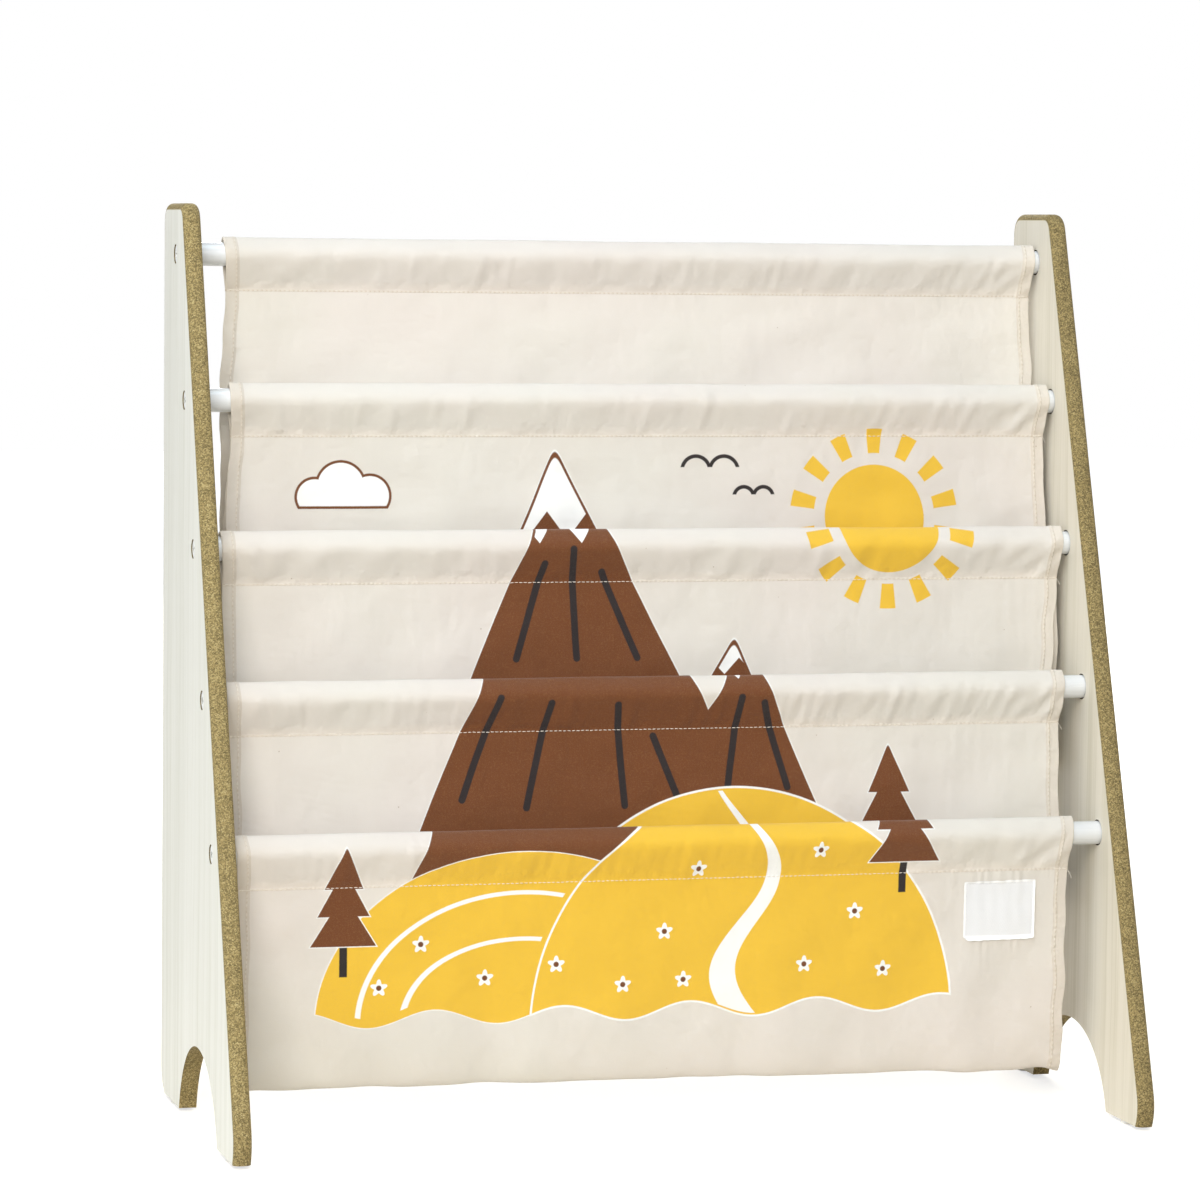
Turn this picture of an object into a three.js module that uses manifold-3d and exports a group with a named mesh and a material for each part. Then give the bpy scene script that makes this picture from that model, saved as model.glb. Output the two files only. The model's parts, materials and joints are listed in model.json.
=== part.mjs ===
// Sling bookshelf: two board sides, five steel rails and a canvas sling with four book pockets.
// Millimetres. +X is the viewer's right, +Y the back, +Z up. The origin is on the floor, under the
// middle of the footprint.
import * as THREE from 'three';
import { mergeVertices } from 'three/addons/utils/BufferGeometryUtils.js';
import Module from 'manifold-3d';

const wasm = await Module();
wasm.setup();

// Whole shelf
const overall_width = 624;
const overall_depth = 274;
const overall_height = 610;
const seat_gap = 0.3;
const cut_overrun = 5;

// Side boards
const board_thickness = 12;
const front_lean_deg = 18.8;
const round_over = 4.5;
const top_corner_radius = 14;
const front_foot_radius = 30;
const front_foot_centre_height = 13;
const rear_foot_radius = 20;
const rear_foot_centre_height = 17.5;
const arch_width = 140;
const arch_height = 53.5;
const arch_ahead_of_middle = 6.5;

// Rails and the sockets that take their ends
const rail_count = 5;
const rail_diameter = 16;
const rail_wall = 1.2;
const rail_pitch = 96.5;
const top_rail_below_top = 33.8;
const top_rail_setback = 38;
const bottom_rail_setback = 29;
const socket_diameter = 19;
const socket_depth = 6;

// Nylon plugs pressed into the rail ends
const plug_length = 20;

// Countersunk screws through the boards into the plugs
const screw_length = 20;
const screw_head_diameter = 12.4;
const screw_head_rim = 0.6;
const screw_head_height = 3.4;
const screw_shank_diameter = 4;
const screw_tip_length = 3;
const recess_span = 5.6;
const recess_slot_width = 1.3;
const recess_depth = 1.8;

// Glides nailed under the feet
const glide_diameter = 10;
const glide_height = 2.5;
const glide_edge = 0.8;
const nail_diameter = 2;
const nail_length = 12;

// Canvas sling
const canvas_thickness = 1;
const crest_above_rail = 11.7;
const crest_radius = 3.4;
const seam_below_rail = 24;
const pocket_hang = 158;
const side_play = 20.5;
const left_play_shares = [1, 0.93, 0.39, 0.26, 0.22];
const right_play_shares = [0.06, 0.1, 0.12, 0.58, 0.82];
const seam_tuck = 2;
const fold_height = 1.1;
const fold_length = 138;
const ripple_height = 0.5;
const ripple_length = 61;
const fold_start_share = 0.12;
const ripple_start_share = 0.4;
const fold_fade = 90;

// Label sewn on the front flap
const label_width = 51;
const label_height = 39;
const label_thickness = 0.6;
const label_right_inset = 29.5;
const label_below_seam = 8;
const label_gap = 0.45;

// Smoothness of round stretches
const round_over_steps = 3;
const corner_steps = 5;
const arch_sides = 48;
const socket_sides = 24;
const rail_sides = 28;
const fastener_sides = 12;
const glide_sides = 20;
const tunnel_arc_steps = 4;
const pocket_columns = 20;
const pocket_rows = 14;
const label_columns = 3;
const label_rows = 3;

// Worked out from the sizes above
const lean = THREE.MathUtils.degToRad(front_lean_deg);
const front_y = -overall_depth / 2;
const back_y = overall_depth / 2;
const outer_x = overall_width / 2;
const inner_x = outer_x - board_thickness;
const board_foot_z = glide_height;
const rail_radius = rail_diameter / 2;
const bore_radius = rail_radius - rail_wall;
const socket_floor_x = inner_x + socket_depth;
const rail_end_x = socket_floor_x - seat_gap;
const screw_hole_radius = screw_shank_diameter / 2 + seat_gap;
const sides = [{ name: 'left', sign: -1 }, { name: 'right', sign: 1 }];

// Front edge of a board: it leans back from the round of the front foot.
const front_foot = { y: front_y + front_foot_radius, z: board_foot_z + front_foot_centre_height };
const rear_foot = { y: back_y - rear_foot_radius, z: board_foot_z + rear_foot_centre_height };
const lean_start = {
  y: front_foot.y - front_foot_radius * Math.cos(lean),
  z: front_foot.z + front_foot_radius * Math.sin(lean),
};
const frontEdgeY = (z) => lean_start.y + (z - lean_start.z) * Math.tan(lean);

// Where each foot's round meets the flat underside of the board.
const front_foot_tip_y = front_foot.y - Math.sqrt(front_foot_radius ** 2 - front_foot_centre_height ** 2);
const rear_foot_tip_y = rear_foot.y + Math.sqrt(rear_foot_radius ** 2 - rear_foot_centre_height ** 2);

// The foot arch is an arc of a circle that passes through both inner toes.
const arch_radius = (arch_width ** 2 / 4 + arch_height ** 2) / (2 * arch_height);
const arch_y = -arch_ahead_of_middle;
const arch_z = board_foot_z + arch_height - arch_radius;

// Rails stand on a line that leans with the front edge, the top one farthest back.
const rails = Array.from({ length: rail_count }, (_, i) => {
  const z = overall_height - top_rail_below_top - i * rail_pitch;
  const down_share = i / (rail_count - 1);
  const setback = THREE.MathUtils.lerp(top_rail_setback, bottom_rail_setback, down_share);
  const left_x = -inner_x + side_play * left_play_shares[i];
  const right_x = inner_x - side_play * right_play_shares[i];
  return { y: frontEdgeY(z) + setback, z, left_x, right_x };
});

const shelf = new THREE.Group();

function finish(color, roughness, metalness) {
  return new THREE.MeshStandardMaterial({ color, roughness, metalness });
}

function addPiece(name, geometry, material, parent = shelf) {
  const piece = new THREE.Mesh(geometry, material);
  piece.name = name;
  parent.add(piece);
  return piece;
}

// A closed geometry as a solid that can be cut.
function solidOf(geometry) {
  const bare = geometry.clone();
  bare.deleteAttribute('normal');
  bare.deleteAttribute('uv');
  const merged = mergeVertices(bare);
  return new wasm.Manifold(new wasm.Mesh({
    numProp: 3,
    vertProperties: new Float32Array(merged.attributes.position.array),
    triVerts: new Uint32Array(merged.index.array),
  }));
}

function geometryOf(solid) {
  const mesh = solid.getMesh();
  const geometry = new THREE.BufferGeometry();
  geometry.setAttribute('position', new THREE.BufferAttribute(mesh.vertProperties, 3));
  geometry.setIndex(new THREE.BufferAttribute(mesh.triVerts, 1));
  geometry.computeVertexNormals();
  return geometry;
}

function meshFrom(points, triangles) {
  const geometry = new THREE.BufferGeometry();
  geometry.setAttribute('position', new THREE.Float32BufferAttribute(points.flat(), 3));
  geometry.setIndex(triangles);
  geometry.computeVertexNormals();
  return geometry;
}

// A round body along X from x0 to x1, with its own radius at each end.
function roundAlongX(x0, radius0, x1, radius1, y, z, round_sides) {
  const body = new THREE.CylinderGeometry(radius0, radius1, x1 - x0, round_sides);
  body.rotateZ(Math.PI / 2);
  body.translate((x0 + x1) / 2, y, z);
  return body;
}

// Side boards

// Outline of a board, seen along X: y across, z up. It runs below the foot, where it is cut flat.
function boardOutline() {
  const skirt_z = board_foot_z - cut_overrun;
  const top_z = overall_height - top_corner_radius;
  const top_front_y = frontEdgeY(top_z) + top_corner_radius / Math.cos(lean);
  const rear_tip_angle = Math.asin(rear_foot_centre_height / rear_foot_radius);
  const front_tip_angle = Math.asin(front_foot_centre_height / front_foot_radius);
  const outline = new THREE.Shape();
  outline.moveTo(front_foot_tip_y, skirt_z);
  outline.lineTo(rear_foot_tip_y, skirt_z);
  outline.absarc(rear_foot.y, rear_foot.z, rear_foot_radius, -rear_tip_angle, 0, false);
  outline.absarc(back_y - top_corner_radius, top_z, top_corner_radius, 0, Math.PI / 2, false);
  outline.absarc(top_front_y, top_z, top_corner_radius, Math.PI / 2, Math.PI - lean, false);
  outline.absarc(front_foot.y, front_foot.z, front_foot_radius, Math.PI - lean, Math.PI + front_tip_angle, false);
  outline.closePath();
  return outline;
}

// The outline with rounded-over edges, turned so that its thickness lies along X.
function boardBlank(sign) {
  const blank = new THREE.ExtrudeGeometry(boardOutline(), {
    depth: board_thickness - 2 * round_over,
    curveSegments: corner_steps,
    bevelThickness: round_over,
    bevelSize: round_over,
    bevelOffset: -round_over,
    bevelSegments: round_over_steps,
  });
  const middle_x = sign * (inner_x + board_thickness / 2);
  blank.translate(0, 0, middle_x - (board_thickness / 2 - round_over));
  const turn = new THREE.Matrix4().makeBasis(
    new THREE.Vector3(0, 1, 0),
    new THREE.Vector3(0, 0, 1),
    new THREE.Vector3(1, 0, 0),
  );
  return blank.applyMatrix4(turn);
}

// What is cut out of a board: the foot arch, everything below the foot, and the nail holes.
function footCutters(sign) {
  const near_x = sign * (inner_x - cut_overrun);
  const far_x = sign * (outer_x + cut_overrun);
  const low_x = Math.min(near_x, far_x);
  const high_x = Math.max(near_x, far_x);
  const arch = roundAlongX(low_x, arch_radius, high_x, arch_radius, arch_y, arch_z, arch_sides);
  const below_height = 3 * cut_overrun;
  const below = new THREE.BoxGeometry(high_x - low_x, 2 * overall_depth, below_height);
  below.translate((low_x + high_x) / 2, 0, board_foot_z - below_height / 2);
  const nail_holes = glidePlaces(sign).map(({ x, y }) => {
    const hole_length = nail_length + seat_gap + cut_overrun;
    const hole_radius = nail_diameter / 2 + seat_gap;
    const hole = new THREE.CylinderGeometry(hole_radius, hole_radius, hole_length, fastener_sides);
    hole.rotateX(Math.PI / 2);
    hole.translate(x, y, board_foot_z - cut_overrun + hole_length / 2);
    return hole;
  });
  return [arch, below, ...nail_holes];
}

// Blind socket for a rail, and the countersunk screw hole through the web behind it.
function railCutters(sign, rail) {
  const socket_radius = socket_diameter / 2;
  const head_radius = screw_head_diameter / 2 + seat_gap;
  const head_depth = screw_head_height + seat_gap;
  const spans = [
    [inner_x - cut_overrun, socket_radius, socket_floor_x, socket_radius, socket_sides],
    [socket_floor_x - seat_gap, screw_hole_radius, outer_x, screw_hole_radius, fastener_sides],
    [outer_x - head_depth, screw_hole_radius, outer_x - screw_head_rim, head_radius, fastener_sides],
    [outer_x - screw_head_rim, head_radius, outer_x + cut_overrun, head_radius, fastener_sides],
  ];
  return spans.map(([near, near_radius, far, far_radius, round_sides]) => (sign > 0
    ? roundAlongX(near, near_radius, far, far_radius, rail.y, rail.z, round_sides)
    : roundAlongX(-far, far_radius, -near, near_radius, rail.y, rail.z, round_sides)));
}

function sideBoard(sign) {
  const cutters = [...footCutters(sign), ...rails.flatMap((rail) => railCutters(sign, rail))];
  const board = cutters.reduce((body, cutter) => body.subtract(solidOf(cutter)), solidOf(boardBlank(sign)));
  return geometryOf(board);
}

for (const { name, sign } of sides) {
  addPiece(`${name}_side_board`, sideBoard(sign), finish(0xeeebdd, 0.6, 0));
}

// Rails, plugs and screws

// A round piece turned from its profile: radius across, length up. It is laid along X at a rail's end,
// its length running inwards from end_x.
function addTurnedAtRail(name, geometry, material, sign, rail, end_x) {
  const piece = addPiece(name, geometry, material);
  piece.rotation.z = sign * Math.PI / 2;
  piece.position.set(sign * end_x, rail.y, rail.z);
}

function railTube() {
  const length = 2 * rail_end_x;
  const section = [
    [bore_radius, 0], [rail_radius, 0], [rail_radius, length], [bore_radius, length], [bore_radius, 0],
  ];
  return new THREE.LatheGeometry(section.map(([r, y]) => new THREE.Vector2(r, y)), rail_sides);
}

function plugBody() {
  const radius = bore_radius - seat_gap;
  const hole_depth = plug_length - rail_wall;
  const section = [
    [0, hole_depth], [screw_hole_radius, hole_depth], [screw_hole_radius, 0],
    [radius, 0], [radius, plug_length], [0, plug_length],
  ];
  return new THREE.LatheGeometry(section.map(([r, y]) => new THREE.Vector2(r, y)), fastener_sides);
}

function screwBody() {
  const shank_radius = screw_shank_diameter / 2;
  const head_radius = screw_head_diameter / 2;
  const section = [
    [0, 0], [head_radius, 0], [head_radius, screw_head_rim], [shank_radius, screw_head_height],
    [shank_radius, screw_length - screw_tip_length], [0, screw_length],
  ];
  const body = new THREE.LatheGeometry(section.map(([r, y]) => new THREE.Vector2(r, y)), fastener_sides);
  const slots = [[recess_span, recess_slot_width], [recess_slot_width, recess_span]];
  const cross = slots.map(([across, along]) => {
    const slot = new THREE.BoxGeometry(across, 2 * recess_depth, along);
    return solidOf(slot);
  });
  return geometryOf(cross.reduce((cut, slot) => cut.subtract(slot), solidOf(body)));
}

rails.forEach((rail, i) => {
  const number = i + 1;
  addTurnedAtRail(`rail_${number}`, railTube(), finish(0xf4f6f5, 0.3, 0), 1, rail, rail_end_x);
  for (const { name, sign } of sides) {
    const nylon = finish(0xe9e9e4, 0.5, 0);
    addTurnedAtRail(`${name}_plug_${number}`, plugBody(), nylon, sign, rail, rail_end_x);
    const zinc = finish(0xf2f2ee, 0.35, 0.2);
    addTurnedAtRail(`${name}_screw_${number}`, screwBody(), zinc, sign, rail, outer_x);
  }
});

// Glides: one under the middle of each foot.

function glidePlaces(sign) {
  const x = sign * (inner_x + board_thickness / 2);
  const toe_y = arch_width / 2;
  return [
    { name: 'front', x, y: (front_foot_tip_y + arch_y - toe_y) / 2 },
    { name: 'rear', x, y: (rear_foot_tip_y + arch_y + toe_y) / 2 },
  ];
}

function glideBody() {
  const radius = glide_diameter / 2;
  const nail_radius = nail_diameter / 2;
  const top_z = glide_height - seat_gap;
  const section = [
    [0, 0], [radius - glide_edge, 0], [radius, glide_edge], [radius, top_z],
    [nail_radius, top_z], [nail_radius, top_z + nail_length], [0, top_z + nail_length],
  ];
  const glide = new THREE.LatheGeometry(section.map(([r, y]) => new THREE.Vector2(r, y)), glide_sides);
  return glide.rotateX(Math.PI / 2);
}

for (const { name, sign } of sides) {
  for (const place of glidePlaces(sign)) {
    const glide = addPiece(`${name}_${place.name}_glide`, glideBody(), finish(0xededec, 0.4, 0));
    glide.position.set(place.x, place.y, 0);
  }
}

// Canvas tunnels

// One side of a belt drawn tight round circles that stand on one upright line, listed from the top.
// Each point is [distance from the line, height].
function beltSide(circles, grow) {
  const slopes = circles.slice(1).map((lower, i) => {
    const upper = circles[i];
    return Math.asin((upper.radius - lower.radius) / (upper.height - lower.height));
  });
  const starts = [Math.PI / 2, ...slopes.map((slope) => -slope)];
  const ends = [...slopes.map((slope) => -slope), -Math.PI / 2];
  return circles.flatMap(({ radius, height }, i) => Array.from({ length: tunnel_arc_steps + 1 }, (_, step) => {
    const angle = THREE.MathUtils.lerp(starts[i], ends[i], step / tunnel_arc_steps);
    return [(radius + grow) * Math.cos(angle), height + (radius + grow) * Math.sin(angle)];
  }));
}

// The belt's whole outline: down the front, up the back. The points on the line itself occur once.
function beltOutline(circles, grow) {
  const front = beltSide(circles, grow);
  const back = front.slice(1, -1).reverse();
  return [...front.map(([out, height]) => [-out, height]), ...back];
}

// A tunnel is a loop of canvas over a rail, creased along the top and stitched shut along the seam.
// Its ends are cut a little shorter at the seam.
function tunnelBody(rail) {
  const crest_inner_top = crest_above_rail - canvas_thickness;
  const circles = [
    { radius: crest_radius, height: crest_inner_top - crest_radius },
    { radius: rail_radius + seat_gap, height: 0 },
    { radius: seat_gap / 2, height: -seam_below_rail },
  ];
  const rings = [beltOutline(circles, canvas_thickness), beltOutline(circles, 0)];
  const count = rings[0].length;
  const points = rings.flatMap((ring) => sides.flatMap(({ sign }) => ring.map(([y, z]) => {
    const end_x = sign < 0 ? rail.left_x : rail.right_x;
    const tuck = seam_tuck * THREE.MathUtils.smoothstep(-z, -crest_above_rail, seam_below_rail);
    return [end_x - sign * tuck, rail.y + y, rail.z + z];
  })));
  const [outer_left, outer_right, inner_left, inner_right] = [0, 1, 2, 3].map((n) => n * count);
  const triangles = [];
  for (let i = 0; i < count; i += 1) {
    const j = (i + 1) % count;
    const bands = [
      [outer_left, outer_right], [inner_right, inner_left],
      [inner_left, outer_left], [outer_right, inner_right],
    ];
    for (const [a, b] of bands) {
      triangles.push(a + i, a + j, b + j, a + i, b + j, b + i);
    }
  }
  return meshFrom(points, triangles);
}

// Canvas pockets

// Distance of the canvas's middle from the rail's upright plane, where two layers share a seam.
const layer_offset = (canvas_thickness + seat_gap) / 2;
const wall_top_below_rail = seam_below_rail + seat_gap / 2 + canvas_thickness + seat_gap;

// Empty canvas between two seams hangs as a chain does: height = a (cosh(y / a) - 1) above its lowest
// line. The value a that spans the rails is found by halving.
function hangingCurve(back_rail, front_rail) {
  const span = back_rail.y - front_rail.y - 2 * layer_offset;
  const low_z = front_rail.z - pocket_hang;
  const back_rise = back_rail.z - wall_top_below_rail - low_z;
  const front_rise = front_rail.z - wall_top_below_rail - low_z;
  const reach = (a, rise) => a * Math.acosh(1 + rise / a);
  let [small, large] = [span / pocket_hang, span];
  for (let halving = 0; halving < 50; halving += 1) {
    const a = (small + large) / 2;
    if (reach(a, back_rise) + reach(a, front_rise) > span) large = a;
    else small = a;
  }
  const a = (small + large) / 2;
  const back_reach = reach(a, back_rise);
  const low_y = back_rail.y - layer_offset - back_reach;
  return { a, low_y, low_z, back_reach, front_reach: reach(a, front_rise) };
}

// Folds of the hanging canvas at x, fading in below a seam.
function foldAt(x, below_seam) {
  const fold = fold_height * Math.sin(2 * Math.PI * (x / fold_length + fold_start_share));
  const ripple = ripple_height * Math.sin(2 * Math.PI * (x / ripple_length + ripple_start_share));
  return (fold + ripple) * THREE.MathUtils.smoothstep(below_seam, 0, fold_fade);
}

// A sheet of even thickness round a grid of middle points, each with the way its front face looks.
function sheetFrom(grid, thickness) {
  const columns = grid.length;
  const rows = grid[0].length;
  const points = [1, -1].flatMap((side) => grid.flatMap((column) => column.map(({ at, facing }) => (
    at.map((value, axis) => value + side * facing[axis] * thickness / 2)))));
  const front = (i, j) => i * rows + j;
  const back = (i, j) => columns * rows + i * rows + j;
  const triangles = [];
  const quad = (a, b, c, d) => triangles.push(a, c, b, a, d, c);
  for (let i = 0; i + 1 < columns; i += 1) {
    for (let j = 0; j + 1 < rows; j += 1) {
      quad(front(i, j), front(i, j + 1), front(i + 1, j + 1), front(i + 1, j));
      quad(back(i, j), back(i + 1, j), back(i + 1, j + 1), back(i, j + 1));
    }
    quad(front(i, 0), front(i + 1, 0), back(i + 1, 0), back(i, 0));
    quad(front(i, rows - 1), back(i, rows - 1), back(i + 1, rows - 1), front(i + 1, rows - 1));
  }
  for (let j = 0; j + 1 < rows; j += 1) {
    quad(front(0, j), back(0, j), back(0, j + 1), front(0, j + 1));
    quad(front(columns - 1, j), front(columns - 1, j + 1), back(columns - 1, j + 1), back(columns - 1, j));
  }
  return meshFrom(points, triangles);
}

// A point of a hanging curve: reach is measured from its lowest line, forwards positive.
function hangingPoint(curve, reach, seam_z, x) {
  const { a, low_y, low_z } = curve;
  const z = low_z + a * (Math.cosh(reach / a) - 1);
  const steepness = Math.sinh(reach / a);
  const length = Math.hypot(1, steepness);
  return {
    at: [x, low_y - reach + foldAt(x, seam_z - z), z],
    facing: [0, -steepness / length, -1 / length],
  };
}

// A pocket: the layer that hangs down from the back rail's seam, folds under, and rises to the front
// rail's seam.
function pocketBody(back_rail, front_rail) {
  const curve = hangingCurve(back_rail, front_rail);
  const grid = Array.from({ length: pocket_columns + 1 }, (_, i) => (
    Array.from({ length: pocket_rows + 1 }, (__, j) => {
      const down_share = j / pocket_rows;
      const reach = THREE.MathUtils.lerp(-curve.back_reach, curve.front_reach, down_share);
      const from_x = THREE.MathUtils.lerp(back_rail.left_x, front_rail.left_x, down_share) + seam_tuck;
      const to_x = THREE.MathUtils.lerp(back_rail.right_x, front_rail.right_x, down_share) - seam_tuck;
      const rail = reach < 0 ? back_rail : front_rail;
      const x = THREE.MathUtils.lerp(from_x, to_x, i / pocket_columns);
      return hangingPoint(curve, reach, rail.z - wall_top_below_rail, x);
    })));
  return sheetFrom(grid, canvas_thickness);
}

rails.forEach((rail, i) => {
  addPiece(`sling_tunnel_${i + 1}`, tunnelBody(rail), finish(0xf1ebe0, 0.9, 0));
});
rails.slice(1).forEach((front_rail, i) => {
  addPiece(`sling_pocket_${i + 1}`, pocketBody(rails[i], front_rail), finish(0xefe6da, 0.9, 0));
});

// Label: a small cloth rectangle that lies on the front flap.
function labelBody() {
  const [back_rail, front_rail] = rails.slice(-2);
  const curve = hangingCurve(back_rail, front_rail);
  const seam_z = front_rail.z - wall_top_below_rail;
  const right_x = front_rail.right_x - label_right_inset;
  const top_z = seam_z - label_below_seam;
  const ahead = (canvas_thickness + label_thickness) / 2 + label_gap;
  const grid = Array.from({ length: label_columns + 1 }, (_, i) => (
    Array.from({ length: label_rows + 1 }, (__, j) => {
      const x = right_x - label_width * (1 - i / label_columns);
      const z = top_z - label_height * (1 - j / label_rows);
      const reach = curve.a * Math.acosh(1 + (z - curve.low_z) / curve.a);
      const { at, facing } = hangingPoint(curve, reach, seam_z, x);
      return { at: at.map((value, axis) => value + facing[axis] * ahead), facing };
    })));
  return sheetFrom(grid, label_thickness);
}
addPiece('sewn_label', labelBody(), finish(0xfafaf8, 0.8, 0));

export default shelf;
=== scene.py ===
"""Looks of a sling bookshelf: foil-faced side boards, white rails with their screws and glides, the
canvas sling with its hems, stitches and print, and a plain cloth label. Metres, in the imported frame."""
import json
import math

import bmesh
import bpy
import numpy as np
from mathutils import Matrix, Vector
from mathutils.geometry import delaunay_2d_cdt

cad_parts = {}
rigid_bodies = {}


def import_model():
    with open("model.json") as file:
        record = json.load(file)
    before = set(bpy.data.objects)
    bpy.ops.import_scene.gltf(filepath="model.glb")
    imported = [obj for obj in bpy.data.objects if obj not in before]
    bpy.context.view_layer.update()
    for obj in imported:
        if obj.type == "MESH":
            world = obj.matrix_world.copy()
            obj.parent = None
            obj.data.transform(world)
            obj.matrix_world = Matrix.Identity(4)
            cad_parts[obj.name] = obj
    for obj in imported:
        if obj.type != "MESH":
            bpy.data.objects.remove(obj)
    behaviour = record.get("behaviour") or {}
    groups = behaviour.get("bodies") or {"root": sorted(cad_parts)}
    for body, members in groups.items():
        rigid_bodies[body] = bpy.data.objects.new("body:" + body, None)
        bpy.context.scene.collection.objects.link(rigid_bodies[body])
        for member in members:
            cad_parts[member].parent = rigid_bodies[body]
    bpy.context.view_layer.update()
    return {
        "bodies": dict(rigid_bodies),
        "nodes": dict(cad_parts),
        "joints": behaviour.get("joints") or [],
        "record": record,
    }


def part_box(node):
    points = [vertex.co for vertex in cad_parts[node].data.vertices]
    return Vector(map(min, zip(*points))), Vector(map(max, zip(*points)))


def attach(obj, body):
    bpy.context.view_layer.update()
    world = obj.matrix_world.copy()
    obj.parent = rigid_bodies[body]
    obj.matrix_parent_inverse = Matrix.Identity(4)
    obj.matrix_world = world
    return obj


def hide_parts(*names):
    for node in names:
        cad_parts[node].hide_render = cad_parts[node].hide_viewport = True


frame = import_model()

# Side boards
OUTER_X = 0.312
INNER_X = 0.300
BACK_Y = 0.137
TOP_Z = 0.610
FOOT_Z = 0.0025
LEAN = math.radians(18.8)
ROUND_OVER = 0.0045
TOP_CORNER = 0.014
FRONT_FOOT = (-0.107, 0.0155)
FRONT_FOOT_RADIUS = 0.030
FRONT_TIP = 0.027037
REAR_FOOT = (0.117, 0.020)
REAR_FOOT_RADIUS = 0.020
REAR_TIP = 0.009682
ARCH = (-0.0065, -0.016538)
ARCH_RADIUS = 0.072538
FACE_SKIN = 0.00008

# Sockets and countersinks in the boards
SOCKET_RADIUS = 0.0089
SOCKET_DEPTH = 0.006
SCREW_HOLE_RADIUS = 0.0023
SINK_RADIUS = 0.0065
SINK_DEPTH = 0.0041
SINK_RIM = 0.0010

# Rails, screws and glides
RAIL_RADIUS = 0.008
RAIL_BORE = 0.0068
RAIL_END_X = 0.3057
HEAD_RADIUS = 0.0060
HEAD_HEIGHT = 0.0034
HEAD_SUNK = 0.00045
SHANK_RADIUS = 0.002
SCREW_LENGTH = 0.020
CROSS_REACH = 0.0023
CROSS_HALF_WIDTH = 0.0006
CROSS_DEPTH = 0.0018
GLIDE_RADIUS = 0.0057

# Canvas: its thickness, hems, stitches, and its line round a rail and between two
CANVAS = 0.0006
WEAVE_PITCH = 0.00075
HEM_WIDTH = 0.009
HEM_EXTRA = 0.0009
HEM_STITCH_IN = 0.0072
STITCH_PITCH = 0.0031
STITCH_LENGTH = 0.0026
STITCH_RADIUS = 0.00026
THREAD_RADIUS = 0.00016
THREAD_BEND = 0.0022
THREAD_ROWS, THREAD_SIDES = 14, 6
SEAM_STRIP = 0.0085
EDGE_ROUND = 0.0006
EDGE_POINTS = 5
CREST_RADIUS = 0.00405
CREST_CENTRE = 0.0076
BELT_RADIUS = 0.00895
BELT_SMOOTHING = 52
PINCH_RADIUS = 0.0009
PINCH_BELOW = 0.0220
SEAM_BELOW = 0.0246
STITCH_LINE_BELOW = 0.0240
LAYER_OFFSET = 0.00038
POCKET_HANG = 0.158
SEAM_TUCK = 0.002
CREST_TOP = 0.0117
TUNNEL_COLUMN, TUNNEL_ROW = 0.0021, 0.002
POCKET_COLUMN, POCKET_ROW = 0.003, 0.0027
ROW_TURN = 0.21
PRINT_BLEED = 0.085
PRINT_PAST_CREST = 0.007
# Where the ends of the tunnels stand off the solids', and how far the pockets' sides bow out to the right
LEFT_SHIFT = (-0.0007, -0.0018, -0.0026, -0.0026, -0.0020)
RIGHT_SHIFT = (-0.0016, -0.0013, -0.0018, -0.0026, -0.0026)
LEFT_BOW = (-0.0044, -0.0036, 0.0, 0.0)
RIGHT_BOW = (0.0008, 0.0022, -0.0034, 0.0)

# Folds: how far each stands off the cloth's line, or moves it
DRAG_DEPTH, DRAG_RIGHT, DRAG_LEFT = 0.00044, 0.00052, 0.00028
SLACK_DEPTH = 0.00042
TUNNEL_CORNER_DEPTH = 0.0006
CREST_DEPTH = 0.00022
GATHER_DEPTH = 0.00022
TUNNEL_ROPE_DEPTH = 0.00010
DRAPE_DEPTH = 0.00050
BILLOW_DEPTH = 0.00080
LEAN_FORWARD = 0.0080
POCKET_ROPE_DEPTH = 0.00032
FALL_DEPTH = 0.00075
POCKET_GATHER_DEPTH = 0.00016
PUFF_DEPTH = 0.00030
LONG_FOLD, RIPPLE = 0.0011, 0.0005
FLAP_DROP_LEFT, FLAP_DROP_RIGHT = 0.0012, 0.0056
PUCKER_DEPTH = 0.00075
RIGHT_CRUMPLE, LEFT_CRUMPLE = (0.0013, 0.75), (0.0006, -0.6)

# Label
LABEL_LEFT, LABEL_RIGHT = 0.2043, 0.2553
LABEL_LOW, LABEL_HIGH = 0.1203, 0.1593
LABEL_MIDDLE_X, LABEL_MIDDLE_Z = (LABEL_LEFT + LABEL_RIGHT) / 2, (LABEL_LOW + LABEL_HIGH) / 2
LABEL_HALF_WIDTH, LABEL_HALF_HEIGHT = (LABEL_RIGHT - LABEL_LEFT) / 2, (LABEL_HIGH - LABEL_LOW) / 2
LABEL_THICKNESS = 0.0005
LABEL_PROUD = 0.0005
LABEL_SLANT = 0.016
LABEL_STITCH_IN = 0.0017
LABEL_STITCH_PITCH = 0.0023


class Rail:
    """A rail's place, and where its canvas tunnel ends."""

    def __init__(self, number):
        low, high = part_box(f"rail_{number}")
        self.y = (low.y + high.y) / 2
        self.z = (low.z + high.z) / 2
        tunnel_low, tunnel_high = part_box(f"sling_tunnel_{number}")
        self.left_x = tunnel_low.x + LEFT_SHIFT[number - 1]
        self.right_x = tunnel_high.x + RIGHT_SHIFT[number - 1]


RAILS = [Rail(number) for number in range(1, 6)]


# Shader maths


def paint(code):
    """A linear colour from the hex code in which it should render."""
    parts = [int(code[i:i + 2], 16) / 255 for i in (0, 2, 4)]
    return (*[c / 12.92 if c <= 0.04045 else ((c + 0.055) / 1.055) ** 2.4 for c in parts], 1.0)


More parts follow.
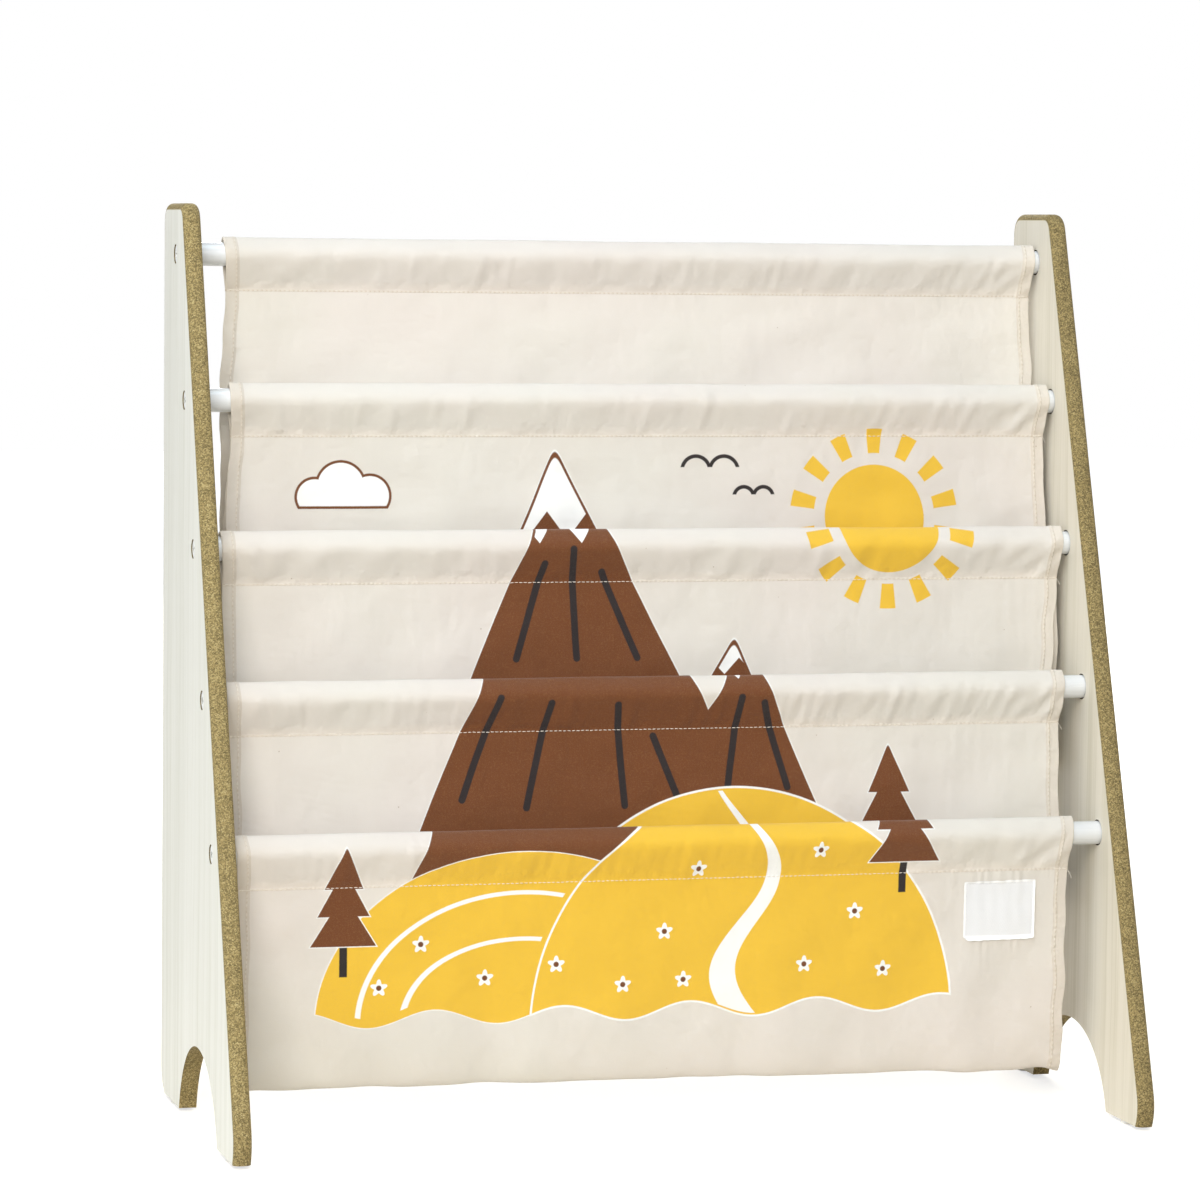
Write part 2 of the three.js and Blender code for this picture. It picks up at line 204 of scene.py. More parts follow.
def math_method(operation, swapped=False):
    """A method that adds the Math node of an operation. Reflected forms take its inputs swapped."""
    def method(self, *others):
        inputs = (self, *others)
        return self.math(operation, *(inputs[::-1] if swapped else inputs))
    return method


class Wire:
    """A socket among a material's nodes. A sum on it in Python adds the Math node that works it out."""

    __add__ = __radd__ = math_method("ADD")
    __sub__, __rsub__ = math_method("SUBTRACT"), math_method("SUBTRACT", True)
    __mul__ = __rmul__ = math_method("MULTIPLY")
    __truediv__, __rtruediv__ = math_method("DIVIDE"), math_method("DIVIDE", True)
    __pow__ = math_method("POWER")
    __gt__, __lt__ = math_method("GREATER_THAN"), math_method("LESS_THAN")
    __abs__, sine = math_method("ABSOLUTE"), math_method("SINE")
    least, most = math_method("MINIMUM"), math_method("MAXIMUM")

    def __init__(self, tree, socket=None):
        self.tree = tree
        self.socket = socket

    def node(self, kind, settings=None, inputs=None, output=0):
        """Any node: its settings first, then the values or wires of its sockets. Gives its output."""
        node = self.tree.nodes.new("ShaderNode" + kind)
        for name, value in (settings or {}).items():
            if name == "stops":
                ends = node.color_ramp.elements
                (ends[0].position, ends[0].color), (ends[1].position, ends[1].color) = value[0], value[-1]
                for place, colour in value[1:-1]:
                    ends.new(place).color = colour
            else:
                setattr(node, name, value)
        for key, value in (inputs or {}).items():
            if isinstance(value, Wire):
                self.tree.links.new(value.socket, node.inputs[key])
            else:
                node.inputs[key].default_value = value
        return Wire(self.tree, node.outputs[output] if len(node.outputs) else None)

    def math(self, operation, *inputs):
        return self.node("Math", {"operation": operation}, dict(enumerate(inputs)))

    def clamped(self):
        """Held from 0 to 1."""
        return self.most(0.0).least(1.0)

    def blend(self, first, second):
        """Colour first where this is 0 and second where it is 1."""
        return self.node("Mix", {"data_type": "RGBA"}, {0: self, 6: first, 7: second}, 2)

    def noise(self, place, scale, detail):
        return self.node("TexNoise", {}, {"Vector": place, "Scale": scale, "Detail": detail})

    def cells(self, place, scale, output=0):
        """Voronoi cells: output 0 is the distance to their middles and 1 their colours."""
        return self.node("TexVoronoi", {"feature": "F1"}, {"Vector": place, "Scale": scale}, output)

    def point(self, x, y, z):
        return self.node("CombineXYZ", {}, {0: x, 1: y, 2: z})

    def bump(self, height, distance, below=None):
        inputs = {"Height": height, "Distance": distance, "Strength": 1.0}
        if below is not None:
            inputs["Normal"] = below
        return self.node("Bump", {}, inputs)

    def parts(self, place):
        """The x, y and z of a vector."""
        split = self.node("SeparateXYZ", {}, {0: place})
        return [Wire(self.tree, socket) for socket in split.socket.node.outputs]


def emptied(made):
    """A material or world without nodes, and a wire from which its nodes are made."""
    made.use_nodes = True
    made.node_tree.nodes.clear()
    return made, Wire(made.node_tree)


def new_material(name):
    """An empty material, a wire from which its nodes are made, and a point's Object coordinates."""
    made, start = emptied(bpy.data.materials.new(name))
    return made, start, start.node("TexCoord", output=3)


def flat_place(start, layer):
    """Both coordinates of a UV map."""
    return start.parts(start.node("UVMap", {"uv_map": layer}))[:2]


def principled(start, **sockets):
    """A Principled shader. Its sockets are named with underscores for spaces."""
    inputs = {name.replace("_", " "): value for name, value in sockets.items()}
    return start.node("BsdfPrincipled", {}, inputs)


def finished(made, start, shader=None, **sockets):
    """The material, with a shader wired to its output: the one given, or a Principled one."""
    start.node("OutputMaterial", {}, {0: shader or principled(start, **sockets)})
    return made


def foil_material():
    """Printed wood-grain foil: wavy upright streaks of three widths on warm white, bolder on the inner faces,
    where painted shade makes it darker and warmer.
    """
    made, start, place = new_material("foil")
    x, y, z = start.parts(place)
    wander = start.noise(start.point(x * 3, y * 16, z * 7), 1.0, 2.0)
    across = y + wander * 0.012
    broad = start.noise(start.point(x * 40, across * 90, z * 2.2), 1.0, 2.0)
    streak = start.noise(start.point(x * 40, across * 420, z * 3.5), 1.0, 3.0)
    line = start.noise(start.point(x * 40, across * 1300, z * 9), 1.0, 2.0)
    inner = abs(x) < (INNER_X + OUTER_X) / 2
    tone = (broad * 0.45 + streak * 0.35 + line * 0.2 - 0.48) * (inner * 1.2 + 0.6) + 0.48
    colour = tone.node("ValToRGB", {"stops": [
        (0.34, paint("d8d7ca")), (0.43, paint("e5e4d9")), (0.50, paint("edece3")), (0.60, paint("f3f2ea")),
    ]}, {0: tone})
    pores = (start.noise(start.point(x * 40, across * 2100, z * 45), 1.0, 1.0) - 0.62) * 9
    colour = (pores.clamped() * 0.28).blend(colour, paint("c9c3a8"))
    # Painted shade: the inner faces are made darker and warmer, standing in for the canvas's shadow and its
    # warm bounce on them.
    colour = (inner * 0.58).blend(colour, paint("c6baa2"))
    normal = start.bump(streak * 0.5 + line * 0.5, 0.00012)
    return finished(made, start, Base_Color=colour, Roughness=0.46 + line * 0.16, Normal=normal)


def fibreboard_material(name, socket_shade=0.0):
    """Raw routed edge of fibreboard: pressed grains in tan and olive, with a pale line of foil at its rim.
    Hole walls get painted shade: they are made darker, as deep holes look."""
    made, start, place = new_material(name)
    x = start.parts(place)[0]
    grain = start.cells(place, 1350.0, 1)
    grain_tone = start.parts(grain)[0]
    soft = start.noise(place, 2100.0, 3.0)
    cloud = start.noise(place, 60.0, 3.0)
    # Painted shade: the right board's edge is made a little darker than the left's, as it faces away from the
    # light.
    tone = grain_tone * 0.40 + soft * 0.45 + cloud * 0.15 - (x > 0.0) * 0.045
    colour = tone.node("ValToRGB", {"stops": [
        (0.26, paint("57492a")), (0.40, paint("786940")), (0.52, paint("8e7b4d")), (0.64, paint("a3915f")),
        (0.80, paint("c3b382")),
    ]}, {0: tone})
    fleck = ((start.noise(place, 1150.0, 1.0) - 0.69) * 14).clamped()
    colour = (fleck * 0.4).blend(colour, paint("d8cb9f"))
    pit = ((0.30 - start.noise(place, 1400.0, 2.0)) * 12).clamped()
    colour = (pit * 0.75).blend(colour, paint("3f341d"))
    to_face = (abs(abs(x) - (OUTER_X + INNER_X) / 2) - ((OUTER_X - INNER_X) / 2 - FACE_SKIN)) / 0.0001
    colour = to_face.clamped().blend(colour, paint("efe8cf"))
    # Painted shade: darkens the walls of the holes.
    if socket_shade:
        colour = (soft * 0.1 + socket_shade).blend(colour, paint("2b2214"))
    normal = start.bump(grain_tone * 0.4 + soft * 0.6, 0.00028)
    return finished(made, start, Base_Color=colour, Roughness=0.80 + soft * 0.15, Normal=normal)


def powder_coat_material():
    """White powder coat on the rails: a faint orange peel, with drawn-on rubs."""
    made, start, place = new_material("powder_coat")
    x, y, z = start.parts(place)
    rub = start.noise(start.point(x * 14, y * 160, z * 160), 1.0, 3.0)
    colour = rub.blend(paint("cfd1d2"), paint("dcdedf"))
    normal = start.bump(start.noise(place, 900.0, 2.0), 0.00003)
    return finished(
        made, start, Base_Color=colour, Roughness=0.2 + rub * 0.14, Normal=normal, Coat_Weight=0.35,
        Coat_Roughness=0.12)


def screw_material():
    """White-painted screw: the paint is rubbed to bare zinc round the driver's cross."""
    made, start, place = new_material("painted_screw")
    worn = start.node("Attribute", {"attribute_name": "worn"}, output=2)
    scratch = start.noise(place, 1500.0, 3.0)
    bare = ((worn + scratch * 0.6 - 0.62) * 5).clamped()
    colour = bare.blend(scratch.blend(paint("eceeec"), paint("fafbfa")), paint("a4a49e"))
    normal = start.bump(scratch, 0.00003)
    return finished(
        made, start, Base_Color=colour, Metallic=bare, Roughness=0.3 + scratch * 0.15, Normal=normal)


def plastic_material(name, dark, light, roughness):
    """Moulded plastic: a fine matt grain and slow cloudy tone."""
    made, start, place = new_material(name)
    cloud = start.noise(place, 180.0, 3.0)
    grain = start.noise(place, 2600.0, 1.0)
    return finished(
        made, start, Base_Color=cloud.blend(paint(dark), paint(light)), Roughness=roughness + grain * 0.2,
        Normal=start.bump(grain, 0.00002), Subsurface_Weight=0.08, Subsurface_Scale=0.002)


def thread_material(name, dark, light):
    """Sewing thread: twisted strands, told by bands that run slantwise in Object space."""
    made, start, place = new_material(name)
    x, y, z = start.parts(place)
    twist = ((x + y + z * 1.7) * 9000).sine() * 0.5 + 0.5
    tone = start.noise(place, 300.0, 2.0)
    colour = (twist * 0.5 + tone * 0.5).blend(paint(dark), paint(light))
    normal = start.bump(twist, 0.00005)
    return finished(made, start, Base_Color=colour, Roughness=0.6 + tone * 0.2, Normal=normal)


# Print on the canvas, drawn with signed distances: below 0 is inside a shape.


def far_from(x, z, centre_x, centre_z):
    return ((x - centre_x) ** 2 + (z - centre_z) ** 2) ** 0.5


def disc(x, z, centre_x, centre_z, radius):
    return far_from(x, z, centre_x, centre_z) - radius


def heading(x, z, centre_x, centre_z):
    """The angle at which a place lies from a centre."""
    return x.math("ARCTAN2", z - centre_z, x - centre_x)


def oval(x, z, centre_x, centre_z, half_width, half_height):
    """Close to a signed distance near the oval's edge."""
    far = (((x - centre_x) / half_width) ** 2 + ((z - centre_z) / half_height) ** 2) ** 0.5
    return (far - 1) * min(half_width, half_height)


def stroke(x, z, start_x, start_z, end_x, end_z, half_width):
    """A straight brush line with round ends."""
    run, rise = end_x - start_x, end_z - start_z
    share = (((x - start_x) * run + (z - start_z) * rise) / (run * run + rise * rise)).clamped()
    return ((x - start_x - share * run) ** 2 + (z - start_z - share * rise) ** 2) ** 0.5 - half_width


def peak(x, z, top_x, top_z, left_slope, right_slope, rounding):
    """A mountain: below two slopes that fall from its top, with a rounded tip."""
    left, right = math.hypot(1, left_slope), math.hypot(1, right_slope)
    left_side = (z - top_z - (x - top_x) * left_slope) / left
    right_side = (z - top_z + (x - top_x) * right_slope) / right
    return left_side.node("Math", {"operation": "SMOOTH_MAX"}, {0: left_side, 1: right_side, 2: rounding})


def zigzag(x, length):
    """From 0 to 1 and back over each length."""
    return abs((x / length).math("FRACT", x / length) * 2 - 1)


def fir_tree(x, z, centre_x, foot_z, height):
    """Three stacked triangles, each wider and lower than the last."""
    shape = None
    for top_share, low_share, width_share in ((1.0, 0.62, 0.34), (0.80, 0.38, 0.46), (0.58, 0.12, 0.58)):
        top_z, low_z = foot_z + top_share * height, foot_z + low_share * height
        slope = (top_z - low_z) / (width_share * height / 2)
        part = peak(x, z, centre_x, top_z, slope, slope, 0.003).most(low_z - z)
        shape = part if shape is None else shape.least(part)
    return shape


INK_SOFTNESS = 0.0005
INK_OUTLINE = 0.0006
HILL_OUTLINE = 0.0014
TRUNK_HALF_WIDTH = 0.0026
BROWN_RIM = 0.0018
WHITE_INK = paint("fbfbf8")
YELLOW_INK = paint("efc139")
BROWN_INK = paint("6b3914")
BLACK_INK = paint("231a19")


def inked(distance):
    """1 inside a shape and 0 outside, with an edge as soft as screen printing."""
    return (0.5 - distance / INK_SOFTNESS).clamped()


def nearest(shapes):
    """The union of shapes: the least of their distances."""
    found = shapes[0]
    for shape in shapes[1:]:
        found = found.least(shape)
    return found


def print_layers(x, z):
    """The picture: a mountain and a lower one, both with snow, a sun, two hills, trees, a cloud and birds.
    Gives (distance, colour) pairs in the order of printing."""
    mountain = peak(x, z, -0.058, 0.449, 2.30, 1.95, 0.010)
    shoulder = peak(x, z, 0.060, 0.322, 1.60, 2.30, 0.008)
    rock = mountain.least(shoulder).most(0.110 - z)
    snow_line = 0.386 + zigzag(x + 0.006, 0.029) * 0.019 - z
    low_snow_line = 0.296 + zigzag(x, 0.021) * 0.011 - z
    snow = (mountain + BROWN_RIM).most(snow_line).least((shoulder + BROWN_RIM).most(low_snow_line))
    creases = nearest([stroke(x, z, *ends, 0.0024) for ends in (
        (-0.074, 0.372, -0.093, 0.308), (-0.055, 0.382, -0.051, 0.308), (-0.034, 0.366, -0.009, 0.308),
        (-0.113, 0.286, -0.138, 0.218), (-0.078, 0.282, -0.094, 0.212), (-0.032, 0.280, -0.026, 0.212),
        (-0.006, 0.258, 0.016, 0.204), (0.054, 0.284, 0.046, 0.222), (0.070, 0.280, 0.088, 0.222),
    )]).most(rock + 0.004)

    sun_far, turn = far_from(x, z, 0.170, 0.400), heading(x, z, 0.170, 0.400)
    sun = sun_far - 0.036
    rays = (abs(sun_far - 0.0525) - 0.0085).most(zigzag(turn, 2 * math.pi / 14) * 0.010 - 0.0042)

    left_hill = oval(x, z, -0.104, 0.076, 0.138, 0.112)
    right_hill = oval(x, z, 0.050, 0.070, 0.146, 0.152)
    under = 0.078 + (x * (2 * math.pi / 0.088) + 0.6).sine() * 0.0055 - z
    left_hill, right_hill = left_hill.most(under), right_hill.most(under)
    furrows = nearest([
        abs(oval(x, z, -0.104, 0.076, *half)) - HILL_OUTLINE for half in ((0.110, 0.084), (0.080, 0.053))])
    furrows = furrows.most(under + 0.006).most(0.005 - right_hill)
    path_far = abs(x - 0.052 - (z * 46).sine() * 0.017) - (0.0105 - (z - 0.078) * 0.062)
    path = path_far.most(right_hill + 0.0012)

    trees = [(0.160, 0.164, 0.086), (-0.224, 0.118, 0.076)]
    crowns = nearest([fir_tree(x, z, *tree) for tree in trees])
    trunks = nearest([(abs(x - tree[0]) - TRUNK_HALF_WIDTH).most(abs(z - tree[1]) - 0.011) for tree in trees])

    petals, hearts = [], []
    for flower_x, flower_z in (
        (-0.200, 0.099), (-0.172, 0.127), (-0.128, 0.103), (-0.080, 0.111), (-0.034, 0.096), (-0.006, 0.131),
        (0.016, 0.173), (0.008, 0.098), (0.092, 0.106), (0.100, 0.184), (0.127, 0.141), (0.148, 0.101),
    ):
        far, turn = far_from(x, z, flower_x, flower_z), heading(x, z, flower_x, flower_z)
        petals.append(far - (turn * 5).sine() * 0.0013 - 0.0046)
        hearts.append(far - 0.0018)

    puffs = [(-0.224, 0.415, 0.0120), (-0.206, 0.422, 0.0160), (-0.186, 0.416, 0.0130)]
    cloud = nearest([disc(x, z, *puff) for puff in puffs]).most(0.409 - z)
    wings = [
        (abs(disc(x, z, bird_x + side * span, bird_z, span)) - 0.0013).most(bird_z + span * 0.25 - z)
        for bird_x, bird_z, span in ((0.052, 0.432, 0.010), (0.083, 0.414, 0.007)) for side in (-1, 1)]

    return [
        (sun, YELLOW_INK), (rays, YELLOW_INK), (cloud - BROWN_RIM, BROWN_INK), (cloud, WHITE_INK),
        (nearest(wings), BLACK_INK), (rock - INK_OUTLINE, WHITE_INK), (rock, BROWN_INK), (creases, BLACK_INK),
        (snow, WHITE_INK), (left_hill - INK_OUTLINE, WHITE_INK), (left_hill, YELLOW_INK),
        (furrows, WHITE_INK), (right_hill - HILL_OUTLINE, WHITE_INK), (right_hill, YELLOW_INK),
        (path, WHITE_INK), (trunks, BLACK_INK), (crowns - INK_OUTLINE, WHITE_INK), (crowns, BROWN_INK),
        (nearest(petals), WHITE_INK), (nearest(hearts), BROWN_INK),
    ]


def canvas_material(name, with_print):
    """Cotton canvas in plain weave, with slubs, seed flecks and, on marked faces, the printed picture.
    Hems and seams are more layers of it: they are dimpled at each stitch and pass less light, and painted
    shade makes them darker and warmer, with darker dots at the stitches and a shadow line at the hem's fold."""
    made, start, place = new_material(name)
    x, z = start.parts(place)[::2]
    u, v = flat_place(start, "cloth")
    edge, seam = flat_place(start, "hems")
    warp_wave = (u * (math.pi / WEAVE_PITCH)).sine()
    weft_wave = (v * (math.pi / WEAVE_PITCH)).sine()
    over = (warp_wave * weft_wave) > 0.0
    slub_warp = start.noise(start.point(u * 1300, v * 40, 0.0), 1.0, 2.0)
    slub_weft = start.noise(start.point(u * 40, v * 1300, 7.0), 1.0, 2.0)
    weave = over * abs(warp_wave) * (slub_warp + 0.35) + (1 - over) * abs(weft_wave) * (slub_weft + 0.35)
    cloud = start.noise(place, 14.0, 3.0)
    fuzz = start.noise(place, 1100.0, 3.0)

    hem = ((HEM_WIDTH + 0.0002 - edge) / 0.0004).clamped()
    strip = ((SEAM_STRIP - seam) / 0.005).clamped()
    layers = hem.most(strip)
    hem_fold_shadow = (1 - abs(edge - HEM_WIDTH) / 0.0006).most(0.0)
    hem_groove = (1 - abs(edge - HEM_STITCH_IN) / 0.0011).most(0.0)
    seam_groove = (1 - abs(seam - 0.0006) / 0.0011).most(0.0)
    hem_dip = hem_groove * ((v * (2 * math.pi / STITCH_PITCH)).sine() * 0.35 + 0.65)
    seam_dip = seam_groove * ((u * (2 * math.pi / STITCH_PITCH)).sine() * 0.35 + 0.65)
    dip = hem_dip.most(seam_dip)

    lot = ((start.noise(place, 6.0, 2.0) - 0.36) * 3.5).clamped()
    lot = lot.blend(paint("eeede0"), paint("f1e6df"))
    cream = (cloud * 0.45 + fuzz * 0.25 + weave * 0.35).blend(paint("e6ded2"), paint("f3ede6"))
    cream = (fuzz * 0.1 + 0.25).blend(cream, lot)
    # Painted shade: hems are made darker and warmer and the seam strip warmer, standing in for the light that
    # their extra layers pass less of.
    cream = (strip * 0.25).blend(cream, paint("e8dacb"))
    cream = (hem * 0.42).blend(cream, paint("c6b9a6"))
    # Painted shade: darker tan dots in the dimples at each stitch, and a painted shadow line along the hem's
    # fold.
    cream = (hem_dip * 0.38).most(seam_dip * 0.55).most(hem_fold_shadow * 0.22).blend(cream, paint("cbb697"))
    speck_pick = start.parts(start.cells(place, 62.0, 1))[0] > 0.62
    speck = (((0.028 + fuzz * 0.02) - start.cells(place, 62.0)) * 60).clamped() * speck_pick
    colour = (speck * 0.6).blend(cream, paint("a58f70"))
    gloss = 0.82 + fuzz * 0.1
    passing = 0.15 - layers * 0.12
    if with_print:
        lint = (fuzz - 0.50).most(0.0) * 0.5 + weave * 0.03
        marked = start.node("Attribute", {"attribute_name": "printed"}, output=2) > 0.5
        covered = None
        for distance, ink in print_layers(x, z):
            ragged = distance + (fuzz - 0.5) * 0.00025
            mottled = ink if ink in (WHITE_INK, BLACK_INK) else lint.blend(ink, paint("c9a06a"))
            here = inked(ragged) * marked
            colour = here.blend(colour, mottled)
            covered = here if covered is None else covered.most(here)
        gloss = gloss - covered * 0.2
        passing = passing * (1 - covered * 0.8)
    soft = start.noise(place, 46.0, 3.0)
    beside = ((0.0125 - edge.least(seam)) / 0.004).clamped()
    pucker = (start.noise(start.point(u * 230, v * 230, 3.0), 1.0, 2.0) - 0.5) * beside
    normal = start.bump(soft, 0.0021)
    normal = start.bump(pucker * 1.6 + hem * 0.35 - dip, 0.00045, normal)
    normal = start.bump(weave + fuzz * 0.5, 0.00016, normal)
    cloth = principled(
        start, Base_Color=colour, Roughness=gloss, Normal=normal, Sheen_Weight=0.18, Specular_IOR_Level=0.25)
    glow = start.node("BsdfTranslucent", {}, {"Color": paint("f6f4ee"), "Normal": normal})
    return finished(made, start, start.node("MixShader", {}, {0: passing, 1: cloth, 2: glow}))


def label_material():
    """White twill tape: slanting ribs, and a close-woven border."""
    made, start, place = new_material("label_twill")
    u, v = flat_place(start, "cloth")
    twill = ((u + v * 1.3) * (2 * math.pi / 0.0012)).sine() * 0.5 + 0.5
    fine = start.noise(place, 1500.0, 3.0)
    border = ((abs(u) - LABEL_HALF_WIDTH).most(abs(v) - LABEL_HALF_HEIGHT) + 0.0016) / 0.0002
    border = border.clamped()
    tone = (twill * 0.6 + fine * 0.4) * (1 - border) + border
    colour = tone.blend(paint("e9eaec"), paint("f9f9f9"))
    normal = start.bump(twill * (1 - border) + fine * 0.6 + border, 0.00022)
    return finished(
        made, start, Base_Color=colour, Roughness=0.62 + fine * 0.2, Normal=normal, Sheen_Weight=0.1)


# Meshes


def unit(vectors):
    return vectors / np.linalg.norm(vectors, axis=-1, keepdims=True)


def spread(run, crowd):
    """Places along a run from end to end, as close together as crowd, the number wanted per unit, says."""
    total = np.concatenate([[0], np.cumsum((crowd[1:] + crowd[:-1]) / 2 * np.diff(run))])
    return np.interp(np.linspace(0, total[-1], math.ceil(total[-1]) + 1), total, run)


def length_along(points):
    """How far along a line each of its points is."""
    return np.concatenate([[0], np.cumsum(np.linalg.norm(np.diff(points, axis=0), axis=1))])


def vertex_places(piece):
    places = np.empty(len(piece.data.vertices) * 3)
    piece.data.vertices.foreach_get("co", places)
    return places.reshape(-1, 3)


def map_flat(piece, layer, flat):
    """A UV map in which every corner has the flat place of its vertex."""
    corners = np.empty(len(piece.data.loops), np.int32)
    piece.data.loops.foreach_get("vertex_index", corners)
    piece.data.uv_layers.new(name=layer).data.foreach_set("uv", flat[corners].astype(np.float32).ravel())


def mark_points(piece, name, values):
    """A number for each vertex, which the material reads by name."""
    marks = piece.data.attributes.new(name, "FLOAT", "POINT")
    marks.data.foreach_set("value", values.astype(np.float32).ravel())


def grid_faces(rows, columns, wrap=False, start=0):
    """Quads of a grid whose points are listed row by row. With wrap its last column meets its first."""
    row, column = np.meshgrid(np.arange(rows - 1), np.arange(columns - (not wrap)), indexing="ij")
    near = row * columns + column
    far = row * columns + (column + 1) % columns
    return start + np.stack([near, far, far + columns, near + columns], -1).reshape(-1, 4)


def mesh_piece(name, points, faces, materials, slot, closed=True, sharp_deg=40.0, kinds=None):
    """A piece from points and from arrays of faces, one array for each number of corners. A closed one has
    its doubles merged and is turned outwards. kinds gives each face its material's number."""
    corners = np.concatenate([part.ravel() for part in faces])
    sizes = np.concatenate([np.full(len(part), part.shape[1]) for part in faces])
    mesh = bpy.data.meshes.new(name)
    mesh.vertices.add(len(points))
    mesh.vertices.foreach_set("co", np.asarray(points, np.float32).ravel())
    mesh.loops.add(len(corners))
    mesh.loops.foreach_set("vertex_index", corners.astype(np.int32))
    mesh.polygons.add(len(sizes))
    mesh.polygons.foreach_set("loop_start", (np.cumsum(sizes) - sizes).astype(np.int32))
    for made in materials:
        mesh.materials.append(made)
    if kinds is not None:
        mesh.polygons.foreach_set("material_index", kinds.astype(np.int32))
    mesh.update(calc_edges=True)
    if closed:
        work = bmesh.new()
        work.from_mesh(mesh)
        bmesh.ops.remove_doubles(work, verts=work.verts, dist=2e-6)
        bmesh.ops.recalc_face_normals(work, faces=work.faces)
        work.to_mesh(mesh)
        work.free()
    mesh.shade_smooth()
    mesh.set_sharp_from_angle(angle=math.radians(sharp_deg))
    piece = bpy.data.objects.new(name, mesh)
    bpy.context.scene.collection.objects.link(piece)
    if slot:
        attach(piece, "root")
    return piece


def arc(centre, radius, start, end, steps):
    """Points of an arc for each radius: the centre plus the radius times cosine and sine of the turn."""
    turn = start + (end - start) * np.linspace(0, 1, steps + 1)
    return np.stack([centre[0] + radius * np.cos(turn), centre[1] + radius * np.sin(turn)], -1)


def board_outlines(inset):
    """Outline of a board in y and z for each inset of its rounded edge: (insets, points, 2). Lines move
    in by the inset and arcs lose it from their radius. The feet's flats and the arch stay in place."""
    d = np.asarray(inset)[:, None]
    ones = np.ones_like(d)
    front_tip, rear_tip = FRONT_FOOT[0] - FRONT_TIP + d, REAR_FOOT[0] + REAR_TIP - d
    arch_turn = math.asin((FOOT_Z - ARCH[1]) / ARCH_RADIUS)
    rear_turn = np.arccos((rear_tip - REAR_FOOT[0]) / (REAR_FOOT_RADIUS - d))
    front_turn = np.arccos((FRONT_FOOT[0] - front_tip) / (FRONT_FOOT_RADIUS - d))
    top_z = TOP_Z - TOP_CORNER
    lean_start_y = FRONT_FOOT[0] - FRONT_FOOT_RADIUS * math.cos(LEAN)
    lean_start_z = FRONT_FOOT[1] + FRONT_FOOT_RADIUS * math.sin(LEAN)
    top_front_y = lean_start_y + (top_z - lean_start_z) * math.tan(LEAN) + TOP_CORNER / math.cos(LEAN)
    return np.concatenate([
        np.stack([front_tip, FOOT_Z * ones], -1),
        arc(ARCH, ARCH_RADIUS * ones, math.pi - arch_turn, arch_turn, 72),
        np.stack([rear_tip, FOOT_Z * ones], -1),
        arc(REAR_FOOT, REAR_FOOT_RADIUS - d, -rear_turn, 0 * d, 14),
        arc((BACK_Y - TOP_CORNER, top_z), TOP_CORNER - d, 0 * d, math.pi / 2, 12),
        arc((top_front_y, top_z), TOP_CORNER - d, math.pi / 2 * ones, math.pi - LEAN, 12),
        arc(FRONT_FOOT, FRONT_FOOT_RADIUS - d, math.pi - LEAN * ones, math.pi + front_turn, 22),
    ], 1)


def ring_points(place_y, place_z, radius, steps):
    """A circle in y and z for each radius."""
    return arc((place_y, place_z), np.asarray(radius)[:, None], 0, 2 * math.pi * (1 - 1 / steps), steps - 1)


def flat_face(outline, holes):
    """Triangles of a flat face between its outline and round holes: (points, triangles)."""
    loops = [outline, *holes]
    points = np.concatenate(loops)
    edges, start = [], 0
    for loop in loops:
        at = np.arange(len(loop))
        edges.append(start + np.stack([at, np.roll(at, -1)], -1))
        start += len(loop)
    found = delaunay_2d_cdt([tuple(p) for p in points], np.concatenate(edges).tolist(), [], 1, 1e-7)
    flat, triangles = np.array([tuple(p) for p in found[0]]), np.array(found[2])
    middle = flat[triangles].mean(1)
    keep = np.ones(len(triangles), bool)
    for hole in holes:
        centre = hole.mean(0)
        keep &= np.linalg.norm(middle - centre, axis=1) > np.linalg.norm(hole[0] - centre) * 0.99
    return flat, triangles[keep]


